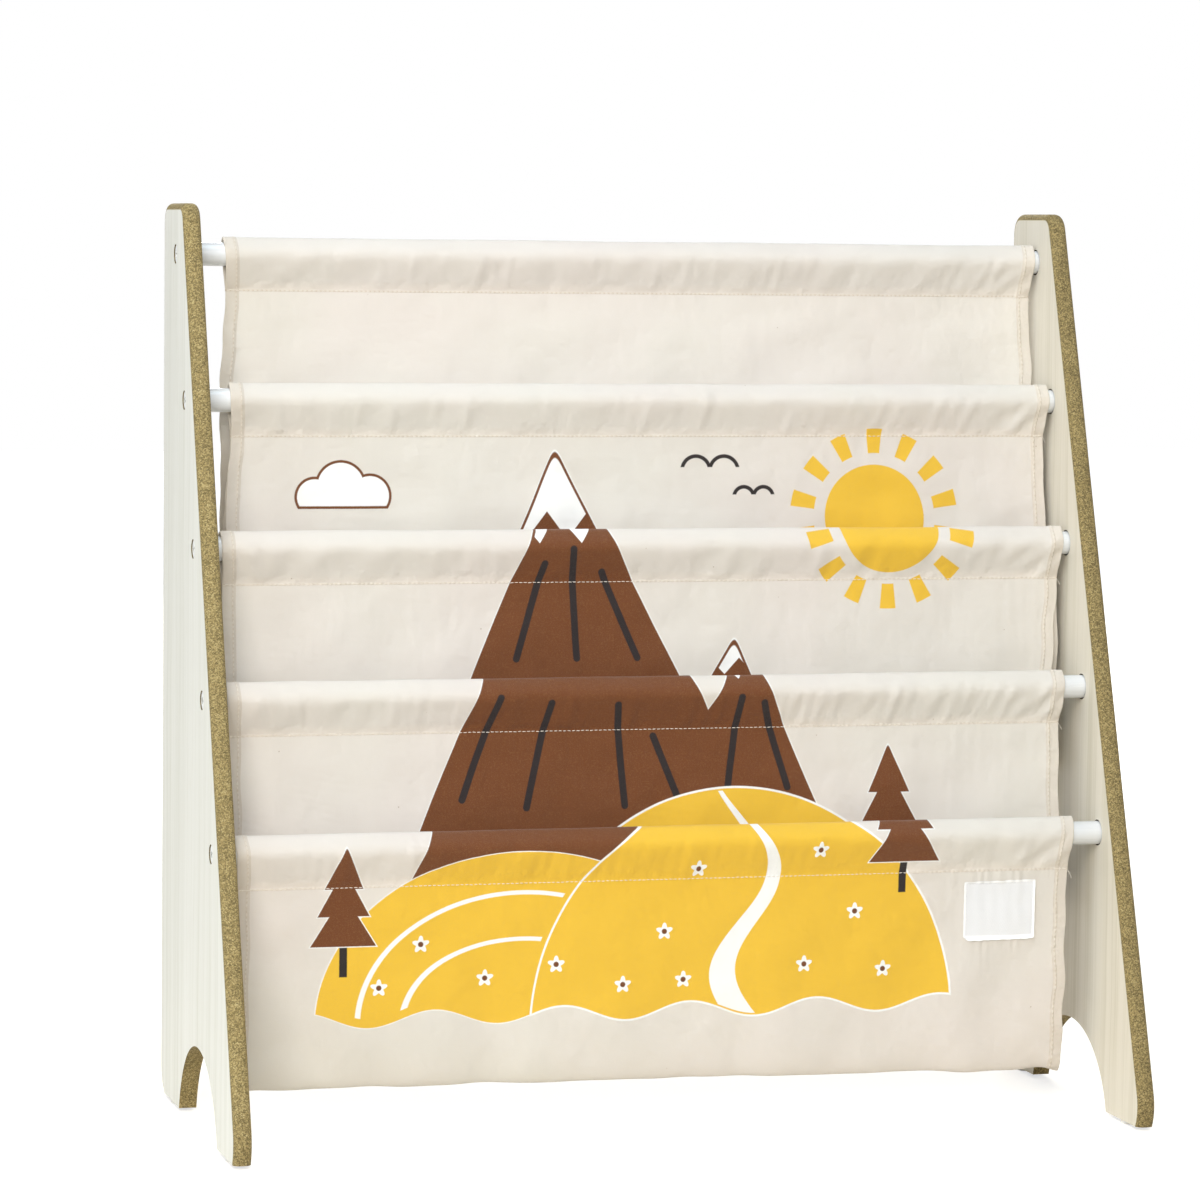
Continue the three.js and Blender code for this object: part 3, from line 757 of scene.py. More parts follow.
def make_board(name, sign, materials):
    """A board: its outline carried across its thickness, drawn in by a quarter round at both faces, with
    a stepped hole of round section for each rail. Its materials are the faces', the edge's and the holes'."""
    turn = np.linspace(0, math.pi / 2, 8)
    quarter_depth, quarter_inset = ROUND_OVER * (1 - np.cos(turn)), ROUND_OVER * (1 - np.sin(turn))
    thickness = OUTER_X - INNER_X
    depth = np.concatenate([quarter_depth, thickness - quarter_depth[::-1]])
    outlines = board_outlines(np.concatenate([quarter_inset, quarter_inset[::-1]]))
    layers, count = outlines.shape[:2]
    depths = np.broadcast_to(depth[:, None, None], (layers, count, 1))
    points = [np.concatenate([depths, outlines], -1).reshape(-1, 3)]
    faces, kinds = [grid_faces(layers, count, wrap=True)], [np.ones((layers - 1) * count, int)]
    start = layers * count

    hole_depth = np.array([
        0, SOCKET_DEPTH, SOCKET_DEPTH, thickness - SINK_DEPTH, thickness - SINK_RIM, thickness])
    hole_radius = np.array([
        SOCKET_RADIUS, SOCKET_RADIUS, SCREW_HOLE_RADIUS, SCREW_HOLE_RADIUS, SINK_RADIUS, SINK_RADIUS])
    steps = 48
    rings = [ring_points(rail.y, rail.z, hole_radius, steps) for rail in RAILS]
    for ring in rings:
        ring_depth = np.broadcast_to(hole_depth[:, None, None], (len(hole_depth), steps, 1))
        points.append(np.concatenate([ring_depth, ring], -1).reshape(-1, 3))
        faces.append(grid_faces(len(hole_depth), steps, wrap=True, start=start))
        kinds.append(np.full(len(faces[-1]), 2))
        start += len(hole_depth) * steps
    triangles = []
    for layer, end, at_depth in ((0, 0, 0.0), (-1, -1, thickness)):
        flat, found = flat_face(outlines[layer], [ring[end] for ring in rings])
        points.append(np.concatenate([np.full((len(flat), 1), at_depth), flat], -1))
        triangles.append(found + start)
        kinds.append(np.zeros(len(found), int))
        start += len(flat)
    quads = np.concatenate(faces)
    points = np.concatenate(points)
    points[:, 0] = sign * (INNER_X + points[:, 0])
    piece = mesh_piece(
        name + "_board", points, [quads, *triangles], materials, "foil_faced_board", sharp_deg=32.0,
        kinds=np.concatenate(kinds))
    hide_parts(name + "_side_board")


def lathe(along, radius, columns):
    """A turned surface: (along, radius cos, radius sin) for each point of its profile and each column."""
    turn = np.linspace(0, 2 * math.pi, columns, endpoint=False)
    along, radius = np.asarray(along)[:, None], np.asarray(radius)[:, None]
    return np.stack([along + 0 * turn, radius * np.cos(turn), radius * np.sin(turn)], -1)


def turned_piece(name, points, material, slot):
    """A piece from the points of a turned surface, listed by profile point and column."""
    faces = grid_faces(*points.shape[:2], wrap=True)
    return mesh_piece(name, points.reshape(-1, 3), [faces], [material], slot)


def round_corner(profile, radius, steps=3):
    """A profile of (along, radius) corners with each inner one eased: points of a quadratic curve from
    the side before it to the side after it."""
    profile = np.asarray(profile, float)
    share = np.linspace(0, 1, steps + 1)[:, None]
    eased = [profile[:1]]
    for before, corner, after in zip(profile[:-2], profile[1:-1], profile[2:]):
        back = corner + (before - corner) * min(0.45, radius / np.linalg.norm(before - corner))
        on = corner + (after - corner) * min(0.45, radius / np.linalg.norm(after - corner))
        eased.append((1 - share) ** 2 * back + 2 * share * (1 - share) * corner + share ** 2 * on)
    return np.concatenate([*eased, profile[-1:]])


def make_rail(number, rail, coat):
    """A tube: its wall's closed section turned about the rail's middle."""
    section = round_corner([
        (0, RAIL_BORE), (RAIL_END_X, RAIL_BORE), (RAIL_END_X, RAIL_RADIUS), (-RAIL_END_X, RAIL_RADIUS),
        (-RAIL_END_X, RAIL_BORE), (0, RAIL_BORE)], 0.0004)
    points = lathe(section[:, 0], section[:, 1], 72)
    piece = turned_piece(f"rail_tube_{number}", points + (0, rail.y, rail.z), coat, "white_rail")
    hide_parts(f"rail_{number}")


def cross_depth(a, b):
    """Depth of the driver's cross at a and b from the head's middle, and how worn the paint is there. The
    cross deepens over a short wall inside the outline of two crossed bars, and is worn along its rim."""
    first = np.maximum(np.abs(a) - CROSS_REACH, np.abs(b) - CROSS_HALF_WIDTH)
    second = np.maximum(np.abs(b) - CROSS_REACH, np.abs(a) - CROSS_HALF_WIDTH)
    inside = -np.minimum(first, second)
    return CROSS_DEPTH * np.clip(inside / 0.00028, 0, 1), np.clip(1 - np.abs(inside) / 0.0005, 0, 1)


def make_screw(name, sign, number, rail, paint_coat):
    """A countersunk screw: rings from the head's middle out to its rim, down the cone and along the shank
    to the point. The head's face is a shallow dome less the driver's cross."""
    face_radius = np.concatenate([np.linspace(0, 0.0033, 24), np.linspace(0.0038, HEAD_RADIUS, 7)])
    dome = 0.00025 * (face_radius / HEAD_RADIUS) ** 2
    body = round_corner([
        (0.00025, HEAD_RADIUS), (0.0007, HEAD_RADIUS), (HEAD_HEIGHT, SHANK_RADIUS),
        (SCREW_LENGTH - 0.003, SHANK_RADIUS), (SCREW_LENGTH, 0)], 0.0004)
    points = lathe(np.concatenate([dome, body[1:, 0]]), np.concatenate([face_radius, body[1:, 1]]), 72)
    tilt = number * 0.7 + sign
    a = points[..., 1] * math.cos(tilt) + points[..., 2] * math.sin(tilt)
    b = points[..., 2] * math.cos(tilt) - points[..., 1] * math.sin(tilt)
    depth = cross_depth(a, b)[0]
    face = (np.arange(len(points)) < len(face_radius))[:, None]
    points[..., 0] = sign * (OUTER_X - HEAD_SUNK - points[..., 0] - depth * face)
    points[..., 1] += rail.y
    points[..., 2] += rail.z
    piece = turned_piece(f"{name}_screw_head_{number}", points, paint_coat, "white_screw")
    from_middle = vertex_places(piece)[:, 1:] - (rail.y, rail.z)
    a = from_middle @ (math.cos(tilt), math.sin(tilt))
    b = from_middle @ (-math.sin(tilt), math.cos(tilt))
    mark_points(piece, "worn", cross_depth(a, b)[1])
    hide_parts(f"{name}_screw_{number}")


def make_glide(name, plastic):
    """A glide: a low turned foot with eased edges, between the floor and the board."""
    low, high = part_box(name)
    profile = round_corner([(0, 0), (0, GLIDE_RADIUS), (FOOT_Z, GLIDE_RADIUS), (FOOT_Z, 0)], 0.0009, 5)
    points = lathe(profile[:, 0], profile[:, 1], 48)
    points = points[..., [1, 2, 0]] + ((low.x + high.x) / 2, (low.y + high.y) / 2, 0)
    piece = turned_piece(name + "_foot", points, plastic, "white_glide")
    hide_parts(name)


# Canvas


def ease(value):
    """0 up to 0, 1 from 1, and 3 v squared less 2 v cubed between."""
    value = np.clip(value, 0, 1)
    return value * value * (3 - 2 * value)


def swell(u, v, seed, waves=10):
    """Smooth seeded relief from about -1 to 1: a sum of plane waves of random heading, length and phase."""
    draw = np.random.default_rng(seed)
    total = 0
    for heading, pace, phase in zip(
            draw.uniform(0, 2 * math.pi, waves), draw.uniform(0.6, 1.5, waves), draw.uniform(0, 6.3, waves)):
        total = total + np.sin(2 * math.pi * pace * (u * math.cos(heading) + v * math.sin(heading)) + phase)
    return total / math.sqrt(2 * waves)


class Hang:
    """The line that a cloth follows, seen along x: points in y and z, told by the length s along it."""

    def __init__(self, points):
        self.points, self.s = points, length_along(points)
        along = unit(np.gradient(points, self.s, axis=0))
        self.outward = np.stack([-along[:, 1], along[:, 0]], -1)
        self.length = self.s[-1]

    def at(self, s):
        """y, z and the outer face's direction at s."""
        columns = (*self.points.T, *self.outward.T)
        return [np.interp(s, self.s, column) for column in columns]

    def rows(self, step, turn):
        """Lengths at which to place rows: each row moves on by at most a step, or a turn where it bends."""
        heading = np.unwrap(np.arctan2(self.outward[:, 1], self.outward[:, 0]))
        return spread(self.s, 1 / step + np.abs(np.gradient(heading, self.s)) / turn)


def tunnel_line(rail):
    """A belt drawn tight round three circles, its crest, the rail and the pinch, then straight down to
    the seam on both sides, evened by a running mean."""
    circles = [(CREST_RADIUS, CREST_CENTRE), (BELT_RADIUS, 0.0), (PINCH_RADIUS, -PINCH_BELOW)]
    slopes = [math.asin((r0 - r1) / (h0 - h1)) for (r0, h0), (r1, h1) in zip(circles, circles[1:])]
    starts = [math.pi / 2, *[-slope for slope in slopes]]
    ends = [*[-slope for slope in slopes], 0.0]
    half = []
    for (radius, height), start, end in zip(circles, starts, ends):
        turn = np.linspace(start, end, 40)
        half.append(np.stack([-radius * np.cos(turn), height + radius * np.sin(turn)], -1))
    half.append(np.array([[-LAYER_OFFSET, -SEAM_BELOW + 0.0012], [-LAYER_OFFSET, -SEAM_BELOW]]))
    half = np.concatenate(half)[::-1]
    whole = np.concatenate([half, half[-2::-1] * (-1, 1)])
    length = length_along(whole)
    even = np.linspace(0, length[-1], 900)
    whole = np.stack([np.interp(even, length, whole[:, k]) for k in (0, 1)], -1)
    reach = BELT_SMOOTHING
    window = np.hanning(2 * reach + 1) / np.hanning(2 * reach + 1).sum()
    padded = np.concatenate([
        2 * whole[0] - whole[reach:0:-1], whole, 2 * whole[-1] - whole[-2:-reach - 2:-1]])
    whole = np.stack([np.convolve(padded[:, k], window, "valid") for k in (0, 1)], -1)
    return Hang(whole + (rail.y, rail.z))


def pocket_line(back_rail, front_rail, front_offset):
    """Empty canvas between two seams: height = a (cosh(y / a) - 1) above its lowest line. The value a
    that spans the rails is found by halving."""
    back_y, front_y = back_rail.y - LAYER_OFFSET, front_rail.y + front_offset
    low_z = front_rail.z - POCKET_HANG
    back_rise = back_rail.z - SEAM_BELOW - 0.0001 - low_z
    front_rise = front_rail.z - SEAM_BELOW - 0.0001 - low_z
    small, large = (back_y - front_y) / 50, back_y - front_y
    for _ in range(60):
        a = (small + large) / 2
        reach = a * (math.acosh(1 + back_rise / a) + math.acosh(1 + front_rise / a))
        small, large = (small, a) if reach > back_y - front_y else (a, large)
    back_reach, front_reach = a * math.acosh(1 + back_rise / a), a * math.acosh(1 + front_rise / a)
    along = np.linspace(-a * math.sinh(back_reach / a), a * math.sinh(front_reach / a), 3000)
    reach = a * np.arcsinh(along / a)
    line = Hang(np.stack([back_y - back_reach - reach, low_z + a * (np.cosh(reach / a) - 1)], -1))
    line.fold_s = a * math.sinh(back_reach / a)
    return line


class Cloth:
    """A stretch of the sling. point() gives any point on its faces."""

    def __init__(self, line, ends, relief, sway, hem_outside):
        self.line, self.ends, self.relief, self.sway, self.hem_outside = line, ends, relief, sway, hem_outside

    def point(self, s, share, inset, side):
        """s along the cloth, share of its width and inset across it, side -1 on its inner face and 1 on
        its outer. Both faces stand off the middle line by half the canvas, and more in the hems."""
        y, z, out_y, out_z = self.line.at(s)
        left, right = self.ends(s)
        x = left + share * (right - left) + inset
        edge = np.minimum(x - left, right - x)
        hem = HEM_EXTRA * ease((HEM_WIDTH - edge) / 0.0007 + 0.5)
        outside = self.hem_outside(s)
        outer = CANVAS / 2 + hem * outside + 0.3 * hem * (1 - outside)
        inner = CANVAS / 2 + hem * (1 - outside) + 0.3 * hem * outside
        off = (outer - inner) / 2 + side * (outer + inner) / 2 + self.relief(x, s, edge)
        across, down = self.sway(x, z)
        y, z = y + across, z - down
        return np.stack(np.broadcast_arrays(x, y + out_y * off, z + out_z * off), -1)

    def frame(self, s, share, inset, side, across):
        """Points with the way along a row of stitches, the way beside it and the way out of the face."""
        step = 0.0002
        here = self.point(s, share, inset, side)
        down = self.point(s + step, share, inset, side) - self.point(s - step, share, inset, side)
        over = self.point(s, share, inset + step, side) - self.point(s, share, inset - step, side)
        down, over = unit(down), unit(over)
        out = unit(np.cross(over, down) * side)
        return (here, over, down, out) if across else (here, down, over, out)


def section_columns(width, step, crowded=None):
    """A cloth's cross-section as (share, inset, side): outer face from left to right, the round of the
    right edge, inner face back and the round of the left edge."""
    near = np.array([0.0006, 0.0012, 0.0022, 0.0036, 0.0052, 0.0068, 0.0082, 0.0086, 0.0090, 0.0094, 0.0102])
    margin = 0.0125
    run = np.linspace(0, 1, 800)
    crowd = np.full_like(run, width / step)
    if crowded is not None:
        crowd += (np.abs(run - crowded[0]) < crowded[1]) * width / 0.0014
    middle = spread(run, crowd)
    share = np.concatenate([np.zeros_like(near), middle, np.ones_like(near)])
    inset = np.concatenate([near, margin * (1 - 2 * middle), -near[::-1]])
    round_turn = np.radians(np.linspace(60, -60, EDGE_POINTS))
    bulge = EDGE_ROUND * (1 - np.cos(round_turn))
    return (
        np.concatenate([share, np.ones(EDGE_POINTS), share[::-1], np.zeros(EDGE_POINTS)]),
        np.concatenate([inset, -bulge, inset[::-1], bulge]),
        np.concatenate([np.ones_like(share), np.sin(round_turn), -np.ones_like(share), -np.sin(round_turn)]),
    )


def make_cloth(name, cloth, columns, row_step, printed, materials, far_seam=0.0):
    """A closed sheet: its cross-section carried along the cloth's line, and shut at both ends by strips
    from the outer face to the inner. printed(s, side) marks the faces that take the print. Its UV maps
    are the flat cloth, and the distances from its side edge and its seam, the latter plus far_seam."""
    share, inset, side = columns
    s = cloth.line.rows(row_step, ROW_TURN)[:, None]
    points = cloth.point(s, share, inset, side)
    rows, count = points.shape[:2]
    body = grid_faces(rows, count, wrap=True)[:, ::-1]
    half = count // 2
    outer = np.arange(half - EDGE_POINTS)
    across = count - EDGE_POINTS - 1 - outer
    strip = np.stack([outer[:-1], outer[1:], across[1:], across[:-1]], -1)
    ends = [strip, strip[:, ::-1] + (rows - 1) * count]
    fans = []
    for last in (half, count):
        edge = np.arange(last - EDGE_POINTS - 1, last + 1) % count
        fans.append(np.stack([np.full(EDGE_POINTS, edge[0]), edge[1:-1], edge[2:]], -1))
    fans = np.concatenate(fans)
    caps = [fans, fans[:, ::-1] + (rows - 1) * count]
    piece = mesh_piece(
        name, points.reshape(-1, 3), [body, *ends, *caps], materials, "canvas", closed=False, sharp_deg=60.0)
    lengths = np.broadcast_to(s, points.shape[:2])
    left, right = cloth.ends(s)
    edge = np.minimum(points[..., 0] - left, right - points[..., 0])
    seam = np.minimum(lengths, cloth.line.length - lengths) + far_seam
    for layer, flat in (("cloth", (points[..., 0], lengths)), ("hems", (edge, seam))):
        map_flat(piece, layer, np.stack(flat, -1).reshape(-1, 2))
    mark_points(piece, "printed", np.broadcast_to(printed(s, side), points.shape[:2]))
    return piece


def stitch_mesh(name, frames, seed, thread, length=STITCH_LENGTH, width=STITCH_RADIUS):
    """Stitches: one short thread, thick in its middle and dipping at its ends, laid at every frame with
    a little seeded sway."""
    here, along, beside, out = (np.concatenate(part) for part in zip(*frames))
    draw = np.random.default_rng(seed)
    tilt = draw.normal(0, 0.07, len(here))[:, None]
    along, beside = along + beside * tilt, beside - along * tilt
    here = here + beside * draw.normal(0, 0.00006, len(here))[:, None]
    sides = 5
    run = np.array([-0.5, -0.42, 0.0, 0.42, 0.5])
    girth = np.array([0.0, 0.75, 1.0, 0.75, 0.0])
    turn = np.linspace(0, 2 * math.pi, sides, endpoint=False)
    shape_run = (run[:, None] + 0 * turn) * length
    shape_beside = girth[:, None] * np.cos(turn) * width
    shape_out = girth[:, None] * np.sin(turn) * width * 0.8 + (0.00008 - 0.0007 * run ** 2)[:, None]
    points = (
        here[:, None, None] + along[:, None, None] * shape_run[..., None]
        + beside[:, None, None] * shape_beside[..., None] + out[:, None, None] * shape_out[..., None])
    one = grid_faces(len(run), sides, wrap=True)
    size = len(run) * sides
    faces = (one[None] + (np.arange(len(here)) * size)[:, None, None]).reshape(-1, 4)
    return mesh_piece(name, points.reshape(-1, 3), [faces], [thread], "canvas", sharp_deg=80.0)


def seam_gather(rail_number, x):
    """Small gathers along a seam, from 0 to 1."""
    return np.clip(0.5 + 0.5 * swell(x / 0.011, 0 * x, 40 + rail_number), 0, 1)


def tunnel_cloth(number, rail):
    """Canvas looped over a rail: slanting drag folds on its lower half, deepest by the right end, small
    gathers at the seam, and an uneven crest. Its ends are tucked in a little at the seam."""
    line = tunnel_line(rail)

    def ends(s):
        below = rail.z - line.at(s)[1]
        tuck = SEAM_TUCK * ease((below + CREST_TOP) / (CREST_TOP + 0.024))
        wave = 0.0004 * swell(s / 0.03, 0 * s, 10 + number)
        return rail.left_x + tuck + wave, rail.right_x - tuck - wave

    def relief(x, s, edge):
        up = np.minimum(s, line.length - s)
        front = s < line.length / 2
        belly = ease(up / 0.006) * (1 - ease((up - 0.018) / 0.020))
        right_end = np.exp(-(rail.right_x - x) / 0.11)
        left_end = np.exp(-(x - rail.left_x) / 0.07)
        lean = 0.12 + 0.36 * right_end - 0.4 * left_end
        slant = swell((x - lean * up) / 0.0115, up / 0.10, 20 + number, 6)
        broad = swell((x - 0.3 * up) / 0.055, up / 0.08, 25 + number)
        drag = np.clip(0.35 + 0.75 * slant + 0.45 * broad, 0, 1.6) ** 1.5
        deep = DRAG_DEPTH + DRAG_RIGHT * right_end + DRAG_LEFT * left_end
        corner = np.exp(-((rail.right_x - x) / 0.030 - 0.4) ** 2 - ((up - 0.014) / 0.012) ** 2)
        corner = corner * np.sin(2 * math.pi * ((rail.right_x - x) * 0.8 + up) / 0.019 - number)
        slack = SLACK_DEPTH * swell((x - 0.5 * up) / 0.030, up / 0.05, 35 + number) * belly
        crest = CREST_DEPTH * swell(x / 0.09, up / 0.05, 30 + number) * ease((up - 0.030) / 0.007)
        gather = GATHER_DEPTH * seam_gather(number, x) * np.exp(-up / 0.006) * front
        rope = TUNNEL_ROPE_DEPTH * np.sin(2 * math.pi * (s / 0.0075 + edge / 0.011))
        rope = rope * np.exp(-edge / 0.006) * ease(up / 0.01)
        return drag * deep * belly + slack + TUNNEL_CORNER_DEPTH * corner * front + crest + gather + rope

    return Cloth(line, ends, relief, lambda x, z: (0 * x, 0 * x), lambda s: 0 * s)


def pocket_cloth(number, back_rail, front_rail, is_flap):
    """Canvas from the back rail's seam down, under and up to the front rail's. Folds and ripples sway it
    in y, its back sheet leans forward to 8 mm, and shallow drapes, gathers at the seam and roping at the
    hems stand off its line. Its sides bow in or out between the seams."""
    line = pocket_line(back_rail, front_rail, -LAYER_OFFSET if is_flap else LAYER_OFFSET)
    back_y, front_y = line.points[0, 0], line.points[-1, 0]

    def ends(s):
        down = (back_y - line.at(s)[0]) / (back_y - front_y)
        left = back_rail.left_x + (front_rail.left_x - back_rail.left_x) * down + SEAM_TUCK
        right = back_rail.right_x + (front_rail.right_x - back_rail.right_x) * down - SEAM_TUCK
        fade = ease(np.minimum(s, line.length - s) / 0.02)
        bow = ease((s + 0.020) / 0.090) * ease((line.length - s) / 0.060)
        left = left + LEFT_BOW[number - 1] * bow * fade
        right = right + RIGHT_BOW[number - 1] * bow * fade
        return (left + 0.0007 * fade * swell(s / 0.040, 0 * s, 50 + number),
                right + 0.0009 * fade * swell(s / 0.040, 0 * s, 60 + number))

    def sway(x, z):
        long_fold = LONG_FOLD * np.sin(2 * math.pi * (x / 0.138 + 0.12))
        ripple = RIPPLE * np.sin(2 * math.pi * (x / 0.061 + 0.4))
        below = front_rail.z - SEAM_BELOW - z
        share = np.clip((x - front_rail.left_x) / (front_rail.right_x - front_rail.left_x), 0, 1)
        drop = FLAP_DROP_LEFT + FLAP_DROP_RIGHT * share ** 2
        drop = drop * ease(below / (POCKET_HANG - SEAM_BELOW)) * is_flap
        return (long_fold + ripple) * ease(below / 0.09), drop

    def relief(x, s, edge):
        from_end = np.minimum(s, line.length - s)
        drape = DRAPE_DEPTH * swell(x / 0.052, s / 0.24, 70 + number) * ease(from_end / 0.05)
        drape = drape + BILLOW_DEPTH * swell(x / 0.085, s / 0.060, 110 + number) * ease(from_end / 0.03)
        lean = -LEAN_FORWARD * ease(s / 0.12) * (1 - ease((s - 0.13) / 0.09))
        rope = POCKET_ROPE_DEPTH * np.sin(2 * math.pi * (s / 0.0062 + edge / 0.012) + 2.5 * np.sin(s * 90))
        rope = rope * np.exp(-((edge - 0.006) / 0.006) ** 2) * ease(from_end / 0.01)
        right_end = np.exp(-(front_rail.right_x - x) / 0.12)
        left_end = np.exp(-(x - front_rail.left_x) / 0.08)
        fall = np.clip(0.3 + 0.9 * swell(x / 0.0135, s / 0.16, 90 + number, 6), 0, 1.6)
        fall = FALL_DEPTH * fall * (0.25 + 0.9 * right_end + 0.3 * left_end)
        below_seam = np.minimum(s, line.length - s if is_flap else s + 1)
        fall = -fall * (1 - np.exp(-below_seam / 0.006)) * np.exp(-below_seam / 0.030)
        front_gather = -POCKET_GATHER_DEPTH * seam_gather(number, x) * np.exp(-s / 0.007)
        puff = -PUFF_DEPTH * (1 - np.exp(-s / 0.004)) * np.exp(-s / 0.035)
        total = drape + lean + rope + front_gather + puff + fall
        if is_flap:
            up = line.length - s
            total = total + POCKET_GATHER_DEPTH * seam_gather(5, x) * np.exp(-up / 0.007)
            total = total + label_puckers(x, line.at(s)[1], s > line.fold_s)
            total = total + corner_crumple(x, s, line.fold_s, ends(s))
        return total

    def hem_outside(s):
        return 1 - ease((s - line.fold_s) / 0.006 + 0.5) if is_flap else 0 * s + 1

    return Cloth(line, ends, relief, sway, hem_outside)


def label_puckers(x, z, on_flap):
    """Upright ridges drawn in by the label's sewing, dying away above and below it."""
    across = ease((0.029 - np.abs(x - LABEL_MIDDLE_X)) / 0.006)
    wave = np.cos(2 * math.pi * (x - LABEL_MIDDLE_X) / 0.0072 + 1.3 * np.sin(x * 260))
    ridge = np.clip(0.5 + 0.5 * wave, 0, 1) ** 1.4
    above = np.exp(-np.maximum(z - LABEL_HIGH, 0) / 0.008) * (z > LABEL_HIGH - 0.001)
    below = 0.55 * np.exp(-np.maximum(LABEL_LOW - z, 0) / 0.007) * (z < LABEL_LOW + 0.001)
    return PUCKER_DEPTH * ridge * across * (above + below) * on_flap


def corner_crumple(x, s, fold_s, ends):
    """A slanting crumple in each lower corner of the front flap, deeper on the right."""
    left, right = ends
    total = 0
    for edge_x, (depth, slant) in ((right, RIGHT_CRUMPLE), (left, LEFT_CRUMPLE)):
        near = np.exp(-((x - edge_x) / 0.030) ** 2 - ((s - fold_s - 0.012) / 0.026) ** 2)
        wave = np.sin(2 * math.pi * ((x - edge_x) * slant + (s - fold_s)) / 0.031 + 0.6)
        total = total + depth * near * wave
    return total


def hem_frames(cloth, first, last, side):
    """Stitches along both hems, from length first to last of a cloth."""
    s = np.arange(first, last, STITCH_PITCH)
    return [cloth.frame(s, share, inset, side, False)
            for share, inset in ((0.0, HEM_STITCH_IN), (1.0, -HEM_STITCH_IN))]


def seam_frames(cloth, s):
    """Stitches across the cloth at length s, with a few sewn back and forth at each end."""
    left, right = cloth.ends(np.array([s]))
    width = float((right - left)[0])
    run = np.arange(0.0018, width - 0.0015, STITCH_PITCH)
    frames = [cloth.frame(np.full_like(run, s), 0 * run, run, 1, True)]
    back = np.array([0.0030, 0.0052, 0.0070, 0.0094])
    for inset, share in ((back, 0.0), (-back, 1.0)):
        frames.append(cloth.frame(np.full_like(back, s) + 0.0004, 0 * back + share, inset, 1, True))
    return frames


def thread_end(frame, length, seed):
    """Points of a loose end of thread: a small tube along a curve that leaves the face by run (1 - run)
    times its bend, and falls by run squared."""
    here, along, beside, out = frame
    run = np.linspace(0, 1, THREAD_ROWS)
    draw = np.random.default_rng(seed)
    path = (
        here + np.outer(run * length * 0.55, along) + np.outer(0.0002 + run * (1 - run) * THREAD_BEND, out)
        + np.outer(np.sin(run * 4 + draw.uniform(0, 3)) * 0.0006 * run, beside))
    path[:, 2] -= run ** 2 * length * 0.7
    ahead = unit(np.gradient(path, axis=0))
    first = unit(np.cross(ahead, (0.3, 0.2, 0.9)))
    second = np.cross(ahead, first)
    turn = np.linspace(0, 2 * math.pi, THREAD_SIDES, endpoint=False)
    girth = (THREAD_RADIUS * np.minimum(1, (1 - run) * 20 + 0.02))[:, None, None]
    points = path[:, None] + girth * (
        first[:, None] * np.cos(turn)[:, None] + second[:, None] * np.sin(turn)[:, None])
    return points.reshape(-1, 3)


def make_thread_ends(cloths, thread):
    """Loose thread ends at the right end of each tunnel's seam."""
    points, faces, start = [], [], 0
    for number, cloth in enumerate(cloths, 1):
        for turn, length in ((1, 0.007), (-1, 0.0045)):
            spot = np.array([-0.0022 - 0.003 * (turn < 0)])
            frame = [part[0] for part in cloth.frame(np.array([0.0008]), np.array([1.0]), spot, 1, True)]
            frame[1] = frame[1] * turn
            points.append(thread_end(frame, length * (0.8 + 0.1 * number), number * 3 + turn))
            faces.append(grid_faces(THREAD_ROWS, THREAD_SIDES, wrap=True, start=start))
            start += THREAD_ROWS * THREAD_SIDES
    mesh_piece(
        "loose_threads", np.concatenate(points), [np.concatenate(faces)], [thread], "canvas", closed=False)


